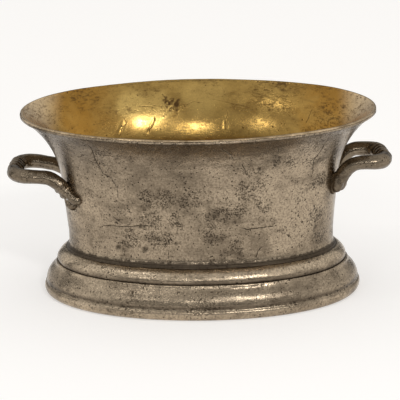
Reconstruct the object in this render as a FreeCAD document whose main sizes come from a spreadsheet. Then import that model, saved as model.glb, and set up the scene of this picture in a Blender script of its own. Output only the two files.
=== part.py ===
import FreeCAD, Part
import math
import os
import Sketcher
from FreeCAD import Placement, Rotation, Vector

# Oval champagne bucket: cast outer bowl with a gilt liner, a two-part stepped
# foot and two cast side handles. Millimetres, +Z up, origin at the middle of
# the foot's underside, +X along the length of the oval.
#
# The waist of the bowl is an ellipse. Every other ring of the body is that
# ellipse pushed outwards (or inwards) by an offset, so each profile below is
# drawn as offset from the waist against height.

os.makedirs("parts", exist_ok=True)
doc = FreeCAD.newDocument("champagne_bucket")

SIZES = {
    # plan of the waist
    "waist_half_length": 175.0,
    "waist_half_width": 94.5,
    # bowl wall, outside face
    "shell_bottom": 64.0,
    "heel_out": 3.0,
    "heel_radius": 12.2,
    "waist_low": 72.0,
    "waist_top": 85.0,
    "flare_start_out": 6.0,
    "flare_start_high": 155.0,
    "flare_radius": 121.4,
    # bowl thicknesses
    "wall": 3.5,
    "floor_top": 68.0,
    "floor_lap": 4.0,
    "floor_corner": 12.0,
    # lip of the outer bowl
    "lip_low": 242.0,
    "lip_high": 245.1,
    "lip_out": 56.2,
    "lip_edge": 0.6,
    # liner
    "seam_gap": 0.15,
    "liner_skin": 0.9,
    "bead_out": 56.0,
    "bead_radius": 2.52,
    # collar of the foot: cove and half-round ring
    "collar_low": 43.0,
    "cove_out": 3.4,
    "cove_low": 61.2,
    "ring_centre_out": 4.5,
    "ring_centre_high": 48.0,
    "ring_radius": 12.3,
    "ring_wall": 5.0,
    "collar_in": 5.0,
    # plinth of the foot
    "flange_in": 26.0,
    "flange_thick": 4.0,
    "ridge_top_out": 17.2,
    "ridge_out": 18.7,
    "ridge_high": 41.0,
    "ridge_foot_out": 20.0,
    "ridge_foot_high": 38.0,
    "ridge_hollow": 6.0,
    "shoulder_out": 25.0,
    "quarter_out": 20.5,
    "quarter_high": 20.0,
    "quarter_radius": 13.3,
    "plinth_bead_out": 35.0,
    "plinth_bead_top": 17.6,
    "plinth_bead_high": 13.0,
    "plinth_bead_low": 7.0,
    "bead_shoulder": 6.0,
    "bead_foot": 7.5,
    "foot_out": 28.0,
    "foot_in": 23.5,
    "foot_inner_high": 6.0,
    "plinth_inner": 28.5,
    "plinth_throat": 15.0,
    "plinth_throat_high": 31.0,
    # bosses under the bowl and the holes for the screws
    "boss_along": 105.0,
    "boss_across": 57.0,
    "boss_radius": 6.0,
    "thread_hole_radius": 2.55,
    "thread_hole_deep": 14.0,
    "clear_hole_radius": 2.75,
    # screws and washers
    "screw_radius": 2.5,
    "screw_length": 16.0,
    "screw_point": 0.6,
    "head_radius": 4.75,
    "head_high": 3.4,
    "head_edge": 1.4,
    "head_round": 3.2,
    "socket_radius": 1.7,
    "socket_deep": 1.8,
    "washer_radius": 5.5,
    "washer_thick": 1.0,
    "seal_radius": 6.0,
    "seal_thick": 1.2,
    "seal_gap": 0.3,
    "drill_deep": 14.0,
    # handles
    "bar_radius": 8.8,
    "reed_ring": 8.0,
    "reed_bulge": 2.3,
    "reed_step": 6.2,
    "fit_gap": 0.1,
    "relief_high": 225.0,
    "leaf_back": 9.0,
    "lobe_back": 8.0,
    "lobe_aside": 5.4,
    "handle_thread_deep": 12.0,
}

sheet = doc.addObject("Spreadsheet::Sheet", "Sizes")
for row, (alias, value) in enumerate(SIZES.items(), start=1):
    sheet.set("A%d" % row, alias)
    sheet.set("B%d" % row, str(value))
    sheet.setAlias("B%d" % row, alias)
doc.recompute()


class Size:
    """A length with its value and the sheet expression that drives it."""

    def __init__(self, value, text):
        self.value = value
        self.text = text

    def join(self, other, sign, value):
        return Size(value, "(%s %s %s)" % (self.text, sign, other.text))

    def __add__(self, other):
        return self.join(other, "+", self.value + other.value)

    def __sub__(self, other):
        return self.join(other, "-", self.value - other.value)

    def __mul__(self, other):
        return self.join(other, "*", self.value * other.value)

    def __truediv__(self, other):
        return self.join(other, "/", self.value / other.value)


def size(name):
    return Size(SIZES[name], "Sizes." + name)


def root(amount):
    return Size(math.sqrt(amount.value), "sqrt(%s)" % amount.text)


ZERO = Size(0.0, "0")
ONE = Size(1.0, "1")
TWO = Size(2.0, "2")
JOIN_TOLERANCE = 1e-6
LEFT = 1
RIGHT = -1
REEDS = 4
HEX = 6
HALF_LENGTH = size("waist_half_length")
HALF_WIDTH = size("waist_half_width")
WALL = size("wall")

# slope of the wall between the waist and the start of the flare
lean_rise = size("flare_start_high") - size("waist_top")
lean_run = size("flare_start_out")
lean_slant = root(lean_rise * lean_rise + lean_run * lean_run)
LEAN_COS = lean_rise / lean_slant
LEAN_SIN = lean_run / lean_slant
FLARE_CENTRE_OUT = size("flare_start_out") + size("flare_radius") * LEAN_COS
FLARE_CENTRE_HIGH = size("flare_start_high") - size("flare_radius") * LEAN_SIN


def plane_of(body, role):
    for feature in body.Origin.OriginFeatures:
        if feature.Role == role:
            return feature
    raise RuntimeError("no plane " + role)


def new_body(label):
    body = doc.addObject("PartDesign::Body", label)
    body.Label = label
    return body


def new_sketch(body, label, role, lift=None):
    """A sketch on one of the body's own planes, lifted along its normal."""
    sketch = body.newObject("Sketcher::SketchObject", label)
    sketch.AttachmentSupport = [(plane_of(body, role), "")]
    sketch.MapMode = "FlatFace"
    if lift is not None:
        sketch.setExpression("AttachmentOffset.Base.z", lift.text)
    return sketch


def bind(sketch, kind, elements, length):
    """One dimension of a sketch, driven by the size sheet."""
    index = sketch.addConstraint(Sketcher.Constraint(kind, *elements, length.value))
    name = "dim_%d" % index
    sketch.renameConstraint(index, name)
    sketch.setExpression("Constraints." + name, length.text)


def add_ellipse(sketch, half_length, half_width, half_only=False):
    """An ellipse about the origin with both its axes dimensioned."""
    curve = Part.Ellipse(Vector(0, 0, 0), half_length.value, half_width.value)
    if half_only:
        curve = Part.ArcOfEllipse(curve, 0, math.pi)
    oval = sketch.addGeometry(curve)
    before = sketch.GeometryCount
    sketch.exposeInternalGeometry(oval)
    long_axis = before
    short_axis = before + 1
    sketch.addConstraint(Sketcher.Constraint("Coincident", oval, 3, -1, 1))
    sketch.addConstraint(Sketcher.Constraint("Horizontal", long_axis))
    bind(sketch, "Distance", (long_axis,), TWO * half_length)
    bind(sketch, "Distance", (short_axis,), TWO * half_width)
    if half_only:
        sketch.addConstraint(Sketcher.Constraint("PointOnObject", oval, 1, -1))
        sketch.addConstraint(Sketcher.Constraint("PointOnObject", oval, 2, -1))


def add_outline(sketch, corners):
    """A closed outline. Each corner is (out, high, bulge): bulge is None for a
    straight run to the next corner, or (radius, side) for an arc, with side +1
    when the arc swells to the left of the run and -1 when to the right."""
    count = len(corners)
    for index, (out, high, bulge) in enumerate(corners):
        nxt = corners[(index + 1) % count]
        start = Vector(out.value, high.value, 0)
        end = Vector(nxt[0].value, nxt[1].value, 0)
        if bulge is None:
            sketch.addGeometry(Part.LineSegment(start, end))
            continue
        radius, side = bulge
        chord = end - start
        half = chord.Length / 2
        rise = radius.value - math.sqrt(radius.value ** 2 - half ** 2)
        left = Vector(-chord.y, chord.x, 0).normalize()
        middle = (start + end) * 0.5 + left * (rise * side)
        sketch.addGeometry(Part.Arc(start, middle, end))
    # which end of each run is its start: arcs are stored counter-clockwise
    ends = []
    for index, (out, high, bulge) in enumerate(corners):
        first = sketch.getPoint(index, 1)
        here = Vector(out.value, high.value, 0)
        ends.append((1, 2) if (first - here).Length < JOIN_TOLERANCE else (2, 1))
    for index in range(count):
        nxt = (index + 1) % count
        sketch.addConstraint(Sketcher.Constraint(
            "Coincident", index, ends[index][1], nxt, ends[nxt][0]))
    for index, (out, high, bulge) in enumerate(corners):
        point = (index, ends[index][0])
        bind(sketch, "DistanceX", point, out)
        if high is ZERO:
            sketch.addConstraint(Sketcher.Constraint("PointOnObject", *point, -1))
        else:
            bind(sketch, "DistanceY", point, high)
        if bulge is not None:
            bind(sketch, "Radius", (index,), bulge[0])


def sweep_round_oval(body, stem, corners):
    """Sweep an outline, given as offset from the waist, all round the oval."""
    path = new_sketch(body, stem + "_path", "XY_Plane")
    add_ellipse(path, HALF_LENGTH, HALF_WIDTH, half_only=True)
    outline = new_sketch(body, stem + "_outline", "XZ_Plane")
    add_outline(outline, [(HALF_LENGTH + out, high, bulge)
                          for out, high, bulge in corners])
    doc.recompute()
    half = body.newObject("PartDesign::AdditivePipe", stem + "_half")
    half.Profile = outline
    half.Spine = (path, ["Edge1"])
    half.Mode = "Frenet"
    doc.recompute()
    whole = body.newObject("PartDesign::Mirrored", stem + "_whole")
    whole.Originals = [half]
    whole.MirrorPlane = (plane_of(body, "XZ_Plane"), [""])
    body.Tip = whole
    doc.recompute()
    return whole


def skin_line(depth):
    """The wall's section at a depth below the outside face: knee at the waist,
    start of the flare, and the flare's radius there."""
    knee_high = size("waist_top") + depth * LEAN_SIN / (ONE + LEAN_COS)
    knee = (ZERO - depth, knee_high)
    start = (size("flare_start_out") - depth * LEAN_COS,
             size("flare_start_high") + depth * LEAN_SIN)
    return knee, start, size("flare_radius") + depth


def flare_out(depth, high):
    """How far out the flare has gone at a height, for a given depth."""
    reach = size("flare_radius") + depth
    up = high - FLARE_CENTRE_HIGH
    return FLARE_CENTRE_OUT - root(reach * reach - up * up)


def oval_point(angle, out, high):
    """A point on the oval pushed out by an offset, and the outward normal."""
    long_half = SIZES["waist_half_length"]
    short_half = SIZES["waist_half_width"]
    normal = Vector(short_half * math.cos(angle), long_half * math.sin(angle), 0)
    normal.normalize()
    base = Vector(long_half * math.cos(angle), short_half * math.sin(angle), high)
    return base + normal * out, normal


floor_edge = ZERO - (WALL + size("floor_corner") + size("floor_lap"))
corner_foot = ZERO - (WALL + size("floor_corner"))
corner_top = size("floor_top") + size("floor_corner")
OUTER = ZERO
LINER_BACK = WALL + size("seam_gap")
LINER_FACE = LINER_BACK + size("liner_skin")


def add_floor(body, stem, low, thick):
    """The flat oval floor that closes the middle of a swept wall."""
    sketch = new_sketch(body, stem + "_floor_plan", "XY_Plane", lift=low)
    inset = floor_edge + size("floor_lap") / TWO
    add_ellipse(sketch, HALF_LENGTH + inset, HALF_WIDTH + inset)
    pad = body.newObject("PartDesign::Pad", stem + "_floor")
    pad.Profile = sketch
    pad.setExpression("Length", thick.text)
    body.Tip = pad
    doc.recompute()


def four_circles(sketch, radius):
    """The same circle on the four boss centres."""
    for along in (-1, 1):
        for across in (-1, 1):
            centre = Vector(along * SIZES["boss_along"], across * SIZES["boss_across"], 0)
            ring = sketch.addGeometry(Part.Circle(centre, Vector(0, 0, 1), radius.value))
            side_x = Size(float(along), str(along))
            side_y = Size(float(across), str(across))
            bind(sketch, "DistanceX", (ring, 3), side_x * size("boss_along"))
            bind(sketch, "DistanceY", (ring, 3), side_y * size("boss_across"))
            bind(sketch, "Radius", (ring,), radius)


def lean_normal(level_normal):
    """The wall's true outward normal below the flare."""
    return (level_normal * LEAN_COS.value - Vector(0, 0, 1) * LEAN_SIN.value).normalize()


def wall_out(high):
    """Offset of the bowl's outside face from the waist, up to the rim."""
    if high <= SIZES["waist_top"]:
        return 0.0
    if high <= SIZES["flare_start_high"]:
        return (high - SIZES["waist_top"]) * LEAN_SIN.value / LEAN_COS.value
    up = high - FLARE_CENTRE_HIGH.value
    return FLARE_CENTRE_OUT.value - math.sqrt(SIZES["flare_radius"] ** 2 - up ** 2)


# ---------------------------------------------------------------- bowl shell
shell = new_body("bowl_casting")
knee, start, flare = skin_line(OUTER)
knee_in, start_in, flare_in = skin_line(WALL)
lip_edge = size("lip_edge")
lip_out = size("lip_out")
lip_low = size("lip_low")
lip_high = size("lip_high")
sweep_round_oval(shell, "shell", [
    (floor_edge, size("shell_bottom"), None),
    (size("heel_out"), size("shell_bottom"), (size("heel_radius"), LEFT)),
    (ZERO, size("waist_low"), None),
    (ZERO, size("waist_top"), None),
    (start[0], start[1], (flare, LEFT)),
    (flare_out(OUTER, lip_low), lip_low, None),
    (lip_out - lip_edge, lip_low, None),
    (lip_out, lip_low + lip_edge, None),
    (lip_out, lip_high - lip_edge, None),
    (lip_out - lip_edge, lip_high, None),
    (flare_out(WALL, lip_high), lip_high, (flare_in, RIGHT)),
    (start_in[0], start_in[1], None),
    (knee_in[0], knee_in[1], None),
    (knee_in[0], corner_top, (size("floor_corner"), LEFT)),
    (corner_foot, size("floor_top"), None),
    (floor_edge, size("floor_top"), None),
])
add_floor(shell, "shell", size("shell_bottom"), size("floor_top") - size("shell_bottom"))

boss_plan = new_sketch(shell, "boss_plan", "XY_Plane", lift=size("collar_low"))
four_circles(boss_plan, size("boss_radius"))
bosses = shell.newObject("PartDesign::Pad", "bosses")
bosses.Profile = boss_plan
floor_middle = (size("floor_top") + size("shell_bottom")) / TWO
bosses.setExpression("Length", (floor_middle - size("collar_low")).text)
shell.Tip = bosses
doc.recompute()

thread_plan = new_sketch(shell, "thread_plan", "XY_Plane", lift=size("collar_low"))
four_circles(thread_plan, size("thread_hole_radius"))
threads = shell.newObject("PartDesign::Pocket", "boss_threads")
threads.Profile = thread_plan
threads.Reversed = True
threads.setExpression("Length", "Sizes.thread_hole_deep")
shell.Tip = threads
doc.recompute()

# --------------------------------------------------------------------- liner
liner = new_body("liner_casting")
back_knee, back_start, back_flare = skin_line(LINER_BACK)
face_knee, face_start, face_flare = skin_line(LINER_FACE)
bead_low = lip_high + size("seam_gap")
liner_low = size("floor_top") + size("seam_gap")
back_corner = size("floor_corner") - size("seam_gap")
sweep_round_oval(liner, "liner", [
    (floor_edge, liner_low, None),
    (corner_foot, liner_low, (back_corner, RIGHT)),
    (back_knee[0], corner_top, None),
    (back_knee[0], back_knee[1], None),
    (back_start[0], back_start[1], (back_flare, LEFT)),
    (flare_out(LINER_BACK, bead_low), bead_low, None),
    (size("bead_out"), bead_low, (size("bead_radius"), RIGHT)),
    (flare_out(LINER_FACE, bead_low), bead_low, (face_flare, RIGHT)),
    (face_start[0], face_start[1], None),
    (face_knee[0], face_knee[1], None),
    (face_knee[0], corner_top, (back_corner - size("liner_skin"), LEFT)),
    (corner_foot, liner_low + size("liner_skin"), None),
    (floor_edge, liner_low + size("liner_skin"), None),
])
add_floor(liner, "liner", liner_low, size("liner_skin"))

# -------------------------------------------------------------------- collar
collar = new_body("foot_collar")
ring_out = size("ring_centre_out")
ring_high = size("ring_centre_high")
ring_radius = size("ring_radius")
ring_inner = ring_radius - size("ring_wall")
collar_low = size("collar_low")
drop = ring_high - collar_low
sweep_round_oval(collar, "collar", [
    (ring_out + root(ring_radius * ring_radius - drop * drop), collar_low,
     (ring_radius, RIGHT)),
    (ring_out, ring_high + ring_radius, None),
    (size("cove_out"), size("cove_low"), None),
    (size("cove_out"), size("shell_bottom"), None),
    (ZERO - size("collar_in"), size("shell_bottom"), None),
    (ZERO - size("collar_in"), ring_high + ring_inner, None),
    (ring_out, ring_high + ring_inner, (ring_inner, LEFT)),
    (ring_out + root(ring_inner * ring_inner - drop * drop), collar_low, None),
])

# -------------------------------------------------------------------- plinth
plinth = new_body("foot_plinth")
quarter_out = size("quarter_out")
quarter_high = size("quarter_high")
quarter_radius = size("quarter_radius")
quarter_inner = size("plinth_inner") - quarter_out
shoulder = size("shoulder_out") - quarter_out
bead_step = quarter_high - size("plinth_bead_top")
flange_low = collar_low - size("flange_thick")
sweep_round_oval(plinth, "plinth", [
    (ZERO - size("flange_in"), collar_low, None),
    (size("ridge_top_out"), collar_low, None),
    (size("ridge_out"), size("ridge_high"), None),
    (size("ridge_foot_out"), size("ridge_foot_high"), (size("ridge_hollow"), RIGHT)),
    (size("shoulder_out"),
     quarter_high + root(quarter_radius * quarter_radius - shoulder * shoulder),
     (quarter_radius, LEFT)),
    (quarter_out + root(quarter_radius * quarter_radius - bead_step * bead_step),
     size("plinth_bead_top"), (size("bead_shoulder"), LEFT)),
    (size("plinth_bead_out"), size("plinth_bead_high"), None),
    (size("plinth_bead_out"), size("plinth_bead_low"), (size("bead_foot"), LEFT)),
    (size("foot_out"), ZERO, None),
    (size("foot_in"), ZERO, None),
    (size("plinth_inner"), size("foot_inner_high"), None),
    (size("plinth_inner"), quarter_high, (quarter_inner, RIGHT)),
    (quarter_out, quarter_high + quarter_inner, None),
    (size("plinth_throat"), size("plinth_throat_high"), None),
    (size("plinth_throat"), flange_low, None),
    (ZERO - size("flange_in"), flange_low, None),
])
clear_plan = new_sketch(plinth, "clear_plan", "XY_Plane", lift=collar_low)
four_circles(clear_plan, size("clear_hole_radius"))
clear_holes = plinth.newObject("PartDesign::Pocket", "flange_holes")
clear_holes.Profile = clear_plan
clear_holes.setExpression("Length", (size("flange_thick") + size("seam_gap")).text)
plinth.Tip = clear_holes
doc.recompute()


# ------------------------------------------------------- screws and washers
def make_screw(label, placement):
    """A pan-head screw: the head's underside at zero, the shank up +Z."""
    body = new_body(label)
    shank = size("screw_radius")
    head = size("head_radius")
    end = size("screw_length")
    edge = size("head_edge")
    top = ZERO - size("head_high")
    point = size("screw_point")
    sketch = new_sketch(body, label + "_half", "XZ_Plane")
    add_outline(sketch, [
        (ZERO, top, None),
        (head / TWO, top, (size("head_round"), RIGHT)),
        (head, ZERO - edge, None),
        (head, ZERO, None),
        (shank, ZERO, None),
        (shank, end - point, None),
        (shank - point, end, None),
        (ZERO, end, None),
    ])
    turned = body.newObject("PartDesign::Revolution", label + "_turned")
    turned.Profile = sketch
    turned.ReferenceAxis = (sketch, ["V_Axis"])
    turned.Angle = 360.0
    socket_plan = new_sketch(body, label + "_socket_plan", "XY_Plane", lift=top)
    turns = [2 * math.pi * k / HEX for k in range(HEX)]
    corners = [Vector(SIZES["socket_radius"] * math.cos(turn),
                      SIZES["socket_radius"] * math.sin(turn), 0)
               for turn in turns]
    rim = socket_plan.addGeometry(
        Part.Circle(Vector(0, 0, 0), Vector(0, 0, 1), SIZES["socket_radius"]), True)
    socket_plan.addConstraint(Sketcher.Constraint("Coincident", rim, 3, -1, 1))
    bind(socket_plan, "Radius", (rim,), size("socket_radius"))
    sides = [socket_plan.addGeometry(Part.LineSegment(corners[k], corners[(k + 1) % HEX]))
             for k in range(HEX)]
    for k in range(HEX):
        socket_plan.addConstraint(Sketcher.Constraint(
            "Coincident", sides[k], 2, sides[(k + 1) % HEX], 1))
        socket_plan.addConstraint(Sketcher.Constraint("PointOnObject", sides[k], 1, rim))
        if k:
            socket_plan.addConstraint(Sketcher.Constraint("Equal", sides[0], sides[k]))
    socket_plan.addConstraint(Sketcher.Constraint("PointOnObject", sides[0], 1, -1))
    socket = body.newObject("PartDesign::Pocket", label + "_socket")
    socket.Profile = socket_plan
    socket.Reversed = True
    socket.setExpression("Length", "Sizes.socket_deep")
    body.Tip = socket
    body.Placement = placement
    doc.recompute()
    return body


def make_washer(label, outer, thick, placement):
    """A flat washer whose far face is at zero, lying on the -Z side."""
    body = new_body(label)
    sketch = new_sketch(body, label + "_plan", "XY_Plane", lift=ZERO - thick)
    for radius in (outer, size("clear_hole_radius")):
        ring = sketch.addGeometry(
            Part.Circle(Vector(0, 0, 0), Vector(0, 0, 1), radius.value))
        sketch.addConstraint(Sketcher.Constraint("Coincident", ring, 3, -1, 1))
        bind(sketch, "Radius", (ring,), radius)
    pad = body.newObject("PartDesign::Pad", label + "_disc")
    pad.Profile = sketch
    pad.setExpression("Length", thick.text)
    body.Tip = pad
    body.Placement = placement
    doc.recompute()
    return body


parts = [collar, plinth]
corner_names = {(-1, -1): "left_front", (-1, 1): "left_back",
                (1, -1): "right_front", (1, 1): "right_back"}
flange_under = SIZES["collar_low"] - SIZES["flange_thick"]
for (along, across), corner in corner_names.items():
    foot = Vector(along * SIZES["boss_along"], across * SIZES["boss_across"], flange_under)
    parts.append(make_washer("foot_washer_" + corner, size("washer_radius"),
                             size("washer_thick"), Placement(foot, Rotation())))
    seat = foot - Vector(0, 0, SIZES["washer_thick"])
    parts.append(make_screw("foot_screw_" + corner, Placement(seat, Rotation())))

# ------------------------------------------------------------------- handles
# what the handles' feet must clear: the bowl's wall with a small fitting gap
relief = new_body("wall_relief")
relief_skin = ZERO - size("fit_gap")
relief_knee, relief_start, relief_flare = skin_line(relief_skin)
sweep_round_oval(relief, "relief", [
    (floor_edge, relief_knee[1], None),
    (relief_knee[0], relief_knee[1], None),
    (relief_start[0], relief_start[1], (relief_flare, LEFT)),
    (flare_out(relief_skin, size("relief_high")), size("relief_high"), None),
    (floor_edge, size("relief_high"), None),
])

# Centre lines of the two handles, hand-finished and so not quite alike. Each
# point is (outwards, across, height), from beside the grip to the toe.
HANDLES = {
    "left": {
        "side": -1,
        "grip": (240.6, 167.4),
        "front": [
            (241.4, 14.0, 167.2),
            (237.6, 26.5, 167.0),
            (227.5, 33.8, 166.8),
            (215.0, 35.6, 166.5),
            (203.0, 36.2, 165.8),
            (192.5, 37.2, 164.4),
            (180.6, 39.2, 157.4),
            (168.6, 42.0, 145.4),
            (157.6, 47.0, 132.4),
        ],
        "back": [
            (241.2, 14.0, 167.6),
            (237.4, 26.0, 167.6),
            (227.5, 33.5, 167.1),
            (215.5, 35.5, 165.8),
            (204.0, 36.5, 163.4),
            (193.0, 38.0, 160.4),
            (180.8, 40.2, 153.4),
            (168.6, 42.6, 143.4),
            (157.6, 47.0, 132.4),
        ],
        "tip": (26.5, 130.0),
        "screw": (24.5, 141.0),
        "splay": 0.3,
    },
    "right": {
        "side": 1,
        "grip": (238.4, 180.2),
        "front": [
            (240.8, 12.0, 180.0),
            (238.9, 22.5, 179.8),
            (229.5, 29.6, 180.0),
            (217.0, 31.0, 180.2),
            (205.5, 31.0, 179.0),
            (196.5, 30.5, 174.8),
            (188.5, 29.5, 166.0),
            (183.5, 28.2, 156.0),
            (180.0, 27.5, 146.5),
        ],
        "back": [
            (236.8, 12.0, 180.6),
            (233.6, 22.0, 180.8),
            (225.0, 29.0, 180.5),
            (214.0, 31.0, 180.3),
            (204.0, 31.0, 179.7),
            (195.5, 30.5, 176.0),
            (188.5, 29.5, 168.0),
            (183.5, 28.2, 157.0),
            (180.0, 27.5, 146.5),
        ],
        "tip": (15.5, 143.0),
        "screw": (15.0, 153.0),
        "splay": 0.12,
    },
}
LEAF_RADII = (15.0, 7.0, 6.0)
LOBE_RADII = (14.0, 5.6, 8.6)


def wall_frame(side, across, turn_deg, high):
    """A point on the outside wall, the level normal there, for one quadrant."""
    spot, normal = oval_point(math.radians(turn_deg), wall_out(high), high)
    flip = Vector(side, across, 1)
    spot = Vector(spot.x * flip.x, spot.y * flip.y, spot.z)
    normal = Vector(normal.x * flip.x, normal.y * flip.y, 0)
    return spot, normal


def handle_spine(plan):
    """The handle's centre line, from one toe round the grip to the other."""
    side = plan["side"]
    front = [Vector(side * out, -across, high) for out, across, high in plan["front"]]
    back = [Vector(side * out, across, high) for out, across, high in plan["back"]]
    grip = Vector(side * plan["grip"][0], 0, plan["grip"][1])
    curve = Part.BSplineCurve()
    curve.interpolate(list(reversed(front)) + [grip] + back)
    return curve, grip, {"front": front, "back": back}


def blob(label, radii, centre, along, normal):
    """An ellipsoid laid on the wall: radii along the leg, across it, and out."""
    across = normal.cross(along).normalize()
    along = across.cross(normal).normalize()
    shape = doc.addObject("Part::Ellipsoid", label)
    shape.Radius1 = radii[2]
    shape.Radius2 = radii[0]
    shape.Radius3 = radii[1]
    shape.Angle1 = -90
    shape.Angle2 = 90
    shape.Angle3 = 360
    turn = Rotation(along, across, normal, "ZXY")
    shape.Placement = Placement(centre, turn)
    return shape


def add_toe(name, where, across, plan, run, pieces):
    """The leaf-like end of one leg: a tip laid on the wall and two lobes."""
    stem = "%s_%s" % (name, where)
    toe = run[-1]
    tip, level = wall_frame(plan["side"], across, *plan["tip"])
    normal = lean_normal(level)
    along = (run[-2] - toe).normalize()
    aside = normal.cross(along).normalize()
    pieces.append(blob("leaf_" + stem, LEAF_RADII,
                       tip + along * SIZES["leaf_back"], along, normal))
    for turn in (-1, 1):
        lobe = toe + along * SIZES["lobe_back"] + aside * (turn * SIZES["lobe_aside"])
        heading = along + aside * (-turn * plan["splay"])
        pieces.append(blob("lobe_%s_%d" % (stem, turn + 1), LOBE_RADII, lobe,
                           heading, normal))


def add_fixing(name, where, across, plan, tappings):
    """One leg's screw and seal, and the holes that take them."""
    stem = "%s_%s" % (name, where)
    spot, level = wall_frame(plan["side"], across, *plan["screw"])
    normal = lean_normal(level)
    turn = Rotation(Vector(0, 0, 1), normal)
    hole = doc.addObject("Part::Cylinder", "tapping_" + stem)
    hole.setExpression("Radius", "Sizes.thread_hole_radius")
    hole.setExpression("Height", "Sizes.handle_thread_deep + Sizes.wall")
    hole.Placement = Placement(spot - normal * SIZES["wall"], turn)
    tappings.append(hole)
    drill = doc.addObject("Part::Cylinder", "drill_" + stem)
    drill.setExpression("Radius", "Sizes.clear_hole_radius")
    drill.setExpression("Height", "Sizes.drill_deep")
    drill.Placement = Placement(spot - normal * (SIZES["drill_deep"] - SIZES["wall"]), turn)
    drills.append(drill)
    seat = spot - normal * (LINER_FACE.value + SIZES["seal_gap"])
    parts.append(make_washer("handle_seal_" + stem, size("seal_radius"),
                             size("seal_thick"), Placement(seat, turn)))
    parts.append(make_screw("handle_screw_" + stem,
                            Placement(seat - normal * SIZES["seal_thick"], turn)))


def make_handle(name, plan):
    """A looped bar with a reeded grip, seated on the bowl's wall and tapped."""
    curve, grip, runs = handle_spine(plan)
    spine = doc.addObject("Part::Feature", "spine_" + name)
    spine.Shape = Part.Wire([curve.toShape()])
    section = doc.addObject("Part::Circle", "bar_section_" + name)
    section.setExpression("Radius", "Sizes.bar_radius")
    begin = curve.value(curve.FirstParameter)
    heading = curve.tangent(curve.FirstParameter)[0]
    section.Placement = Placement(begin, Rotation(Vector(0, 0, 1), heading))
    bar = doc.addObject("Part::Sweep", "bar_" + name)
    bar.Sections = [section]
    bar.Spine = (spine, ["Edge1"])
    bar.Solid = True
    bar.Frenet = False
    pieces = [bar]
    for k in range(REEDS):
        reed = doc.addObject("Part::Torus", "reed_%s_%d" % (name, k))
        reed.setExpression("Radius1", "Sizes.reed_ring")
        reed.setExpression("Radius2", "Sizes.reed_bulge")
        across = (k - (REEDS - 1) / 2) * SIZES["reed_step"]
        reed.Placement = Placement(grip + Vector(0, across, 0),
                                   Rotation(Vector(0, 0, 1), Vector(0, 1, 0)))
        pieces.append(reed)
    tappings = []
    for across, where in ((-1, "front"), (1, "back")):
        add_toe(name, where, across, plan, runs[where], pieces)
        add_fixing(name, where, across, plan, tappings)
    whole = doc.addObject("Part::MultiFuse", "handle_raw_" + name)
    whole.Shapes = pieces
    seated = doc.addObject("Part::Cut", "handle_seated_" + name)
    seated.Base = whole
    seated.Tool = relief
    tapping = doc.addObject("Part::MultiFuse", "handle_tapping_" + name)
    tapping.Shapes = tappings
    tapped = doc.addObject("Part::Cut", "handle_" + name)
    tapped.Base = seated
    tapped.Tool = tapping
    tapped.Label = "handle_" + name
    doc.recompute()
    return tapped


drills = []
for name, plan in HANDLES.items():
    parts.append(make_handle(name, plan))

# the handle screws pass through the liner and the bowl
drilling = doc.addObject("Part::MultiFuse", "handle_drilling")
drilling.Shapes = drills
for label, casting in (("bowl_shell", shell), ("bowl_liner", liner)):
    drilled = doc.addObject("Part::Cut", label)
    drilled.Base = casting
    drilled.Tool = drilling
    drilled.Label = label
    parts.append(drilled)
doc.recompute()

# ------------------------------------------------------------ check and save
for obj in doc.Objects:
    if "Invalid" in obj.State or "Error" in obj.State:
        raise RuntimeError("feature failed: " + obj.Label)
for part in parts:
    shape = part.Shape
    if shape.isNull() or not shape.isValid() or len(shape.Solids) != 1:
        raise RuntimeError("bad solid: %s (%d)" % (part.Label, len(shape.Solids)))
    if shape.Volume <= 0:
        raise RuntimeError("inside out: " + part.Label)
    shape.exportStep(os.path.join("parts", part.Label + ".step"))
    box = shape.BoundBox
    print("%-28s %9.1f mm3  x %.1f..%.1f  y %.1f..%.1f  z %.1f..%.1f" % (
        part.Label, shape.Volume, box.XMin, box.XMax, box.YMin, box.YMax,
        box.ZMin, box.ZMax))
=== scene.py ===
import math

import bpy
import numpy as np
from mathutils import Matrix, Vector


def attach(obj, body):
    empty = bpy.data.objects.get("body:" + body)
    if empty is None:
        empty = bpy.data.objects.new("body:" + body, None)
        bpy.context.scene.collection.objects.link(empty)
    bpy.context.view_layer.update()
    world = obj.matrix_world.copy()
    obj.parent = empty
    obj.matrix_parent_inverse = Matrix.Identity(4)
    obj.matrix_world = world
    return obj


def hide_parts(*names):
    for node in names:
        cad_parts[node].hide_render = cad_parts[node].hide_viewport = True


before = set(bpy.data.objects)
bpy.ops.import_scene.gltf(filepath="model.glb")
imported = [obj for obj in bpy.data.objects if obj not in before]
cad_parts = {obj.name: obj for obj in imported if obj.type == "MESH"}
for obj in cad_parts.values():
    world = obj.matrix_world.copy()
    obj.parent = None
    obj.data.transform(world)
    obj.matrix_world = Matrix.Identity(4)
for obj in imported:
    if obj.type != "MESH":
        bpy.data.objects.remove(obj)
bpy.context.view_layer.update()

MM = 0.001

# ------------------------------------------------------------------- camera
CAMERA_AT = Vector((0.11525, -2.24322, 0.86448))
CAMERA_TARGET = Vector((0.0002, 0.0, 0.1208))
CAMERA_ROLL = math.radians(-1.44)
LENS_MM = 161.5


camera_data = bpy.data.cameras.new("camera")
camera_data.sensor_width = 36.0
camera_data.lens = LENS_MM
camera_data.clip_end = 50.0
camera = bpy.data.objects.new("camera", camera_data)
bpy.context.scene.collection.objects.link(camera)
aim = (CAMERA_TARGET - CAMERA_AT).to_track_quat("-Z", "Y").to_matrix().to_4x4()
camera.matrix_world = aim @ Matrix.Rotation(CAMERA_ROLL, 4, "Z")
camera.location = CAMERA_AT
bpy.context.scene.camera = camera

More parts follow.
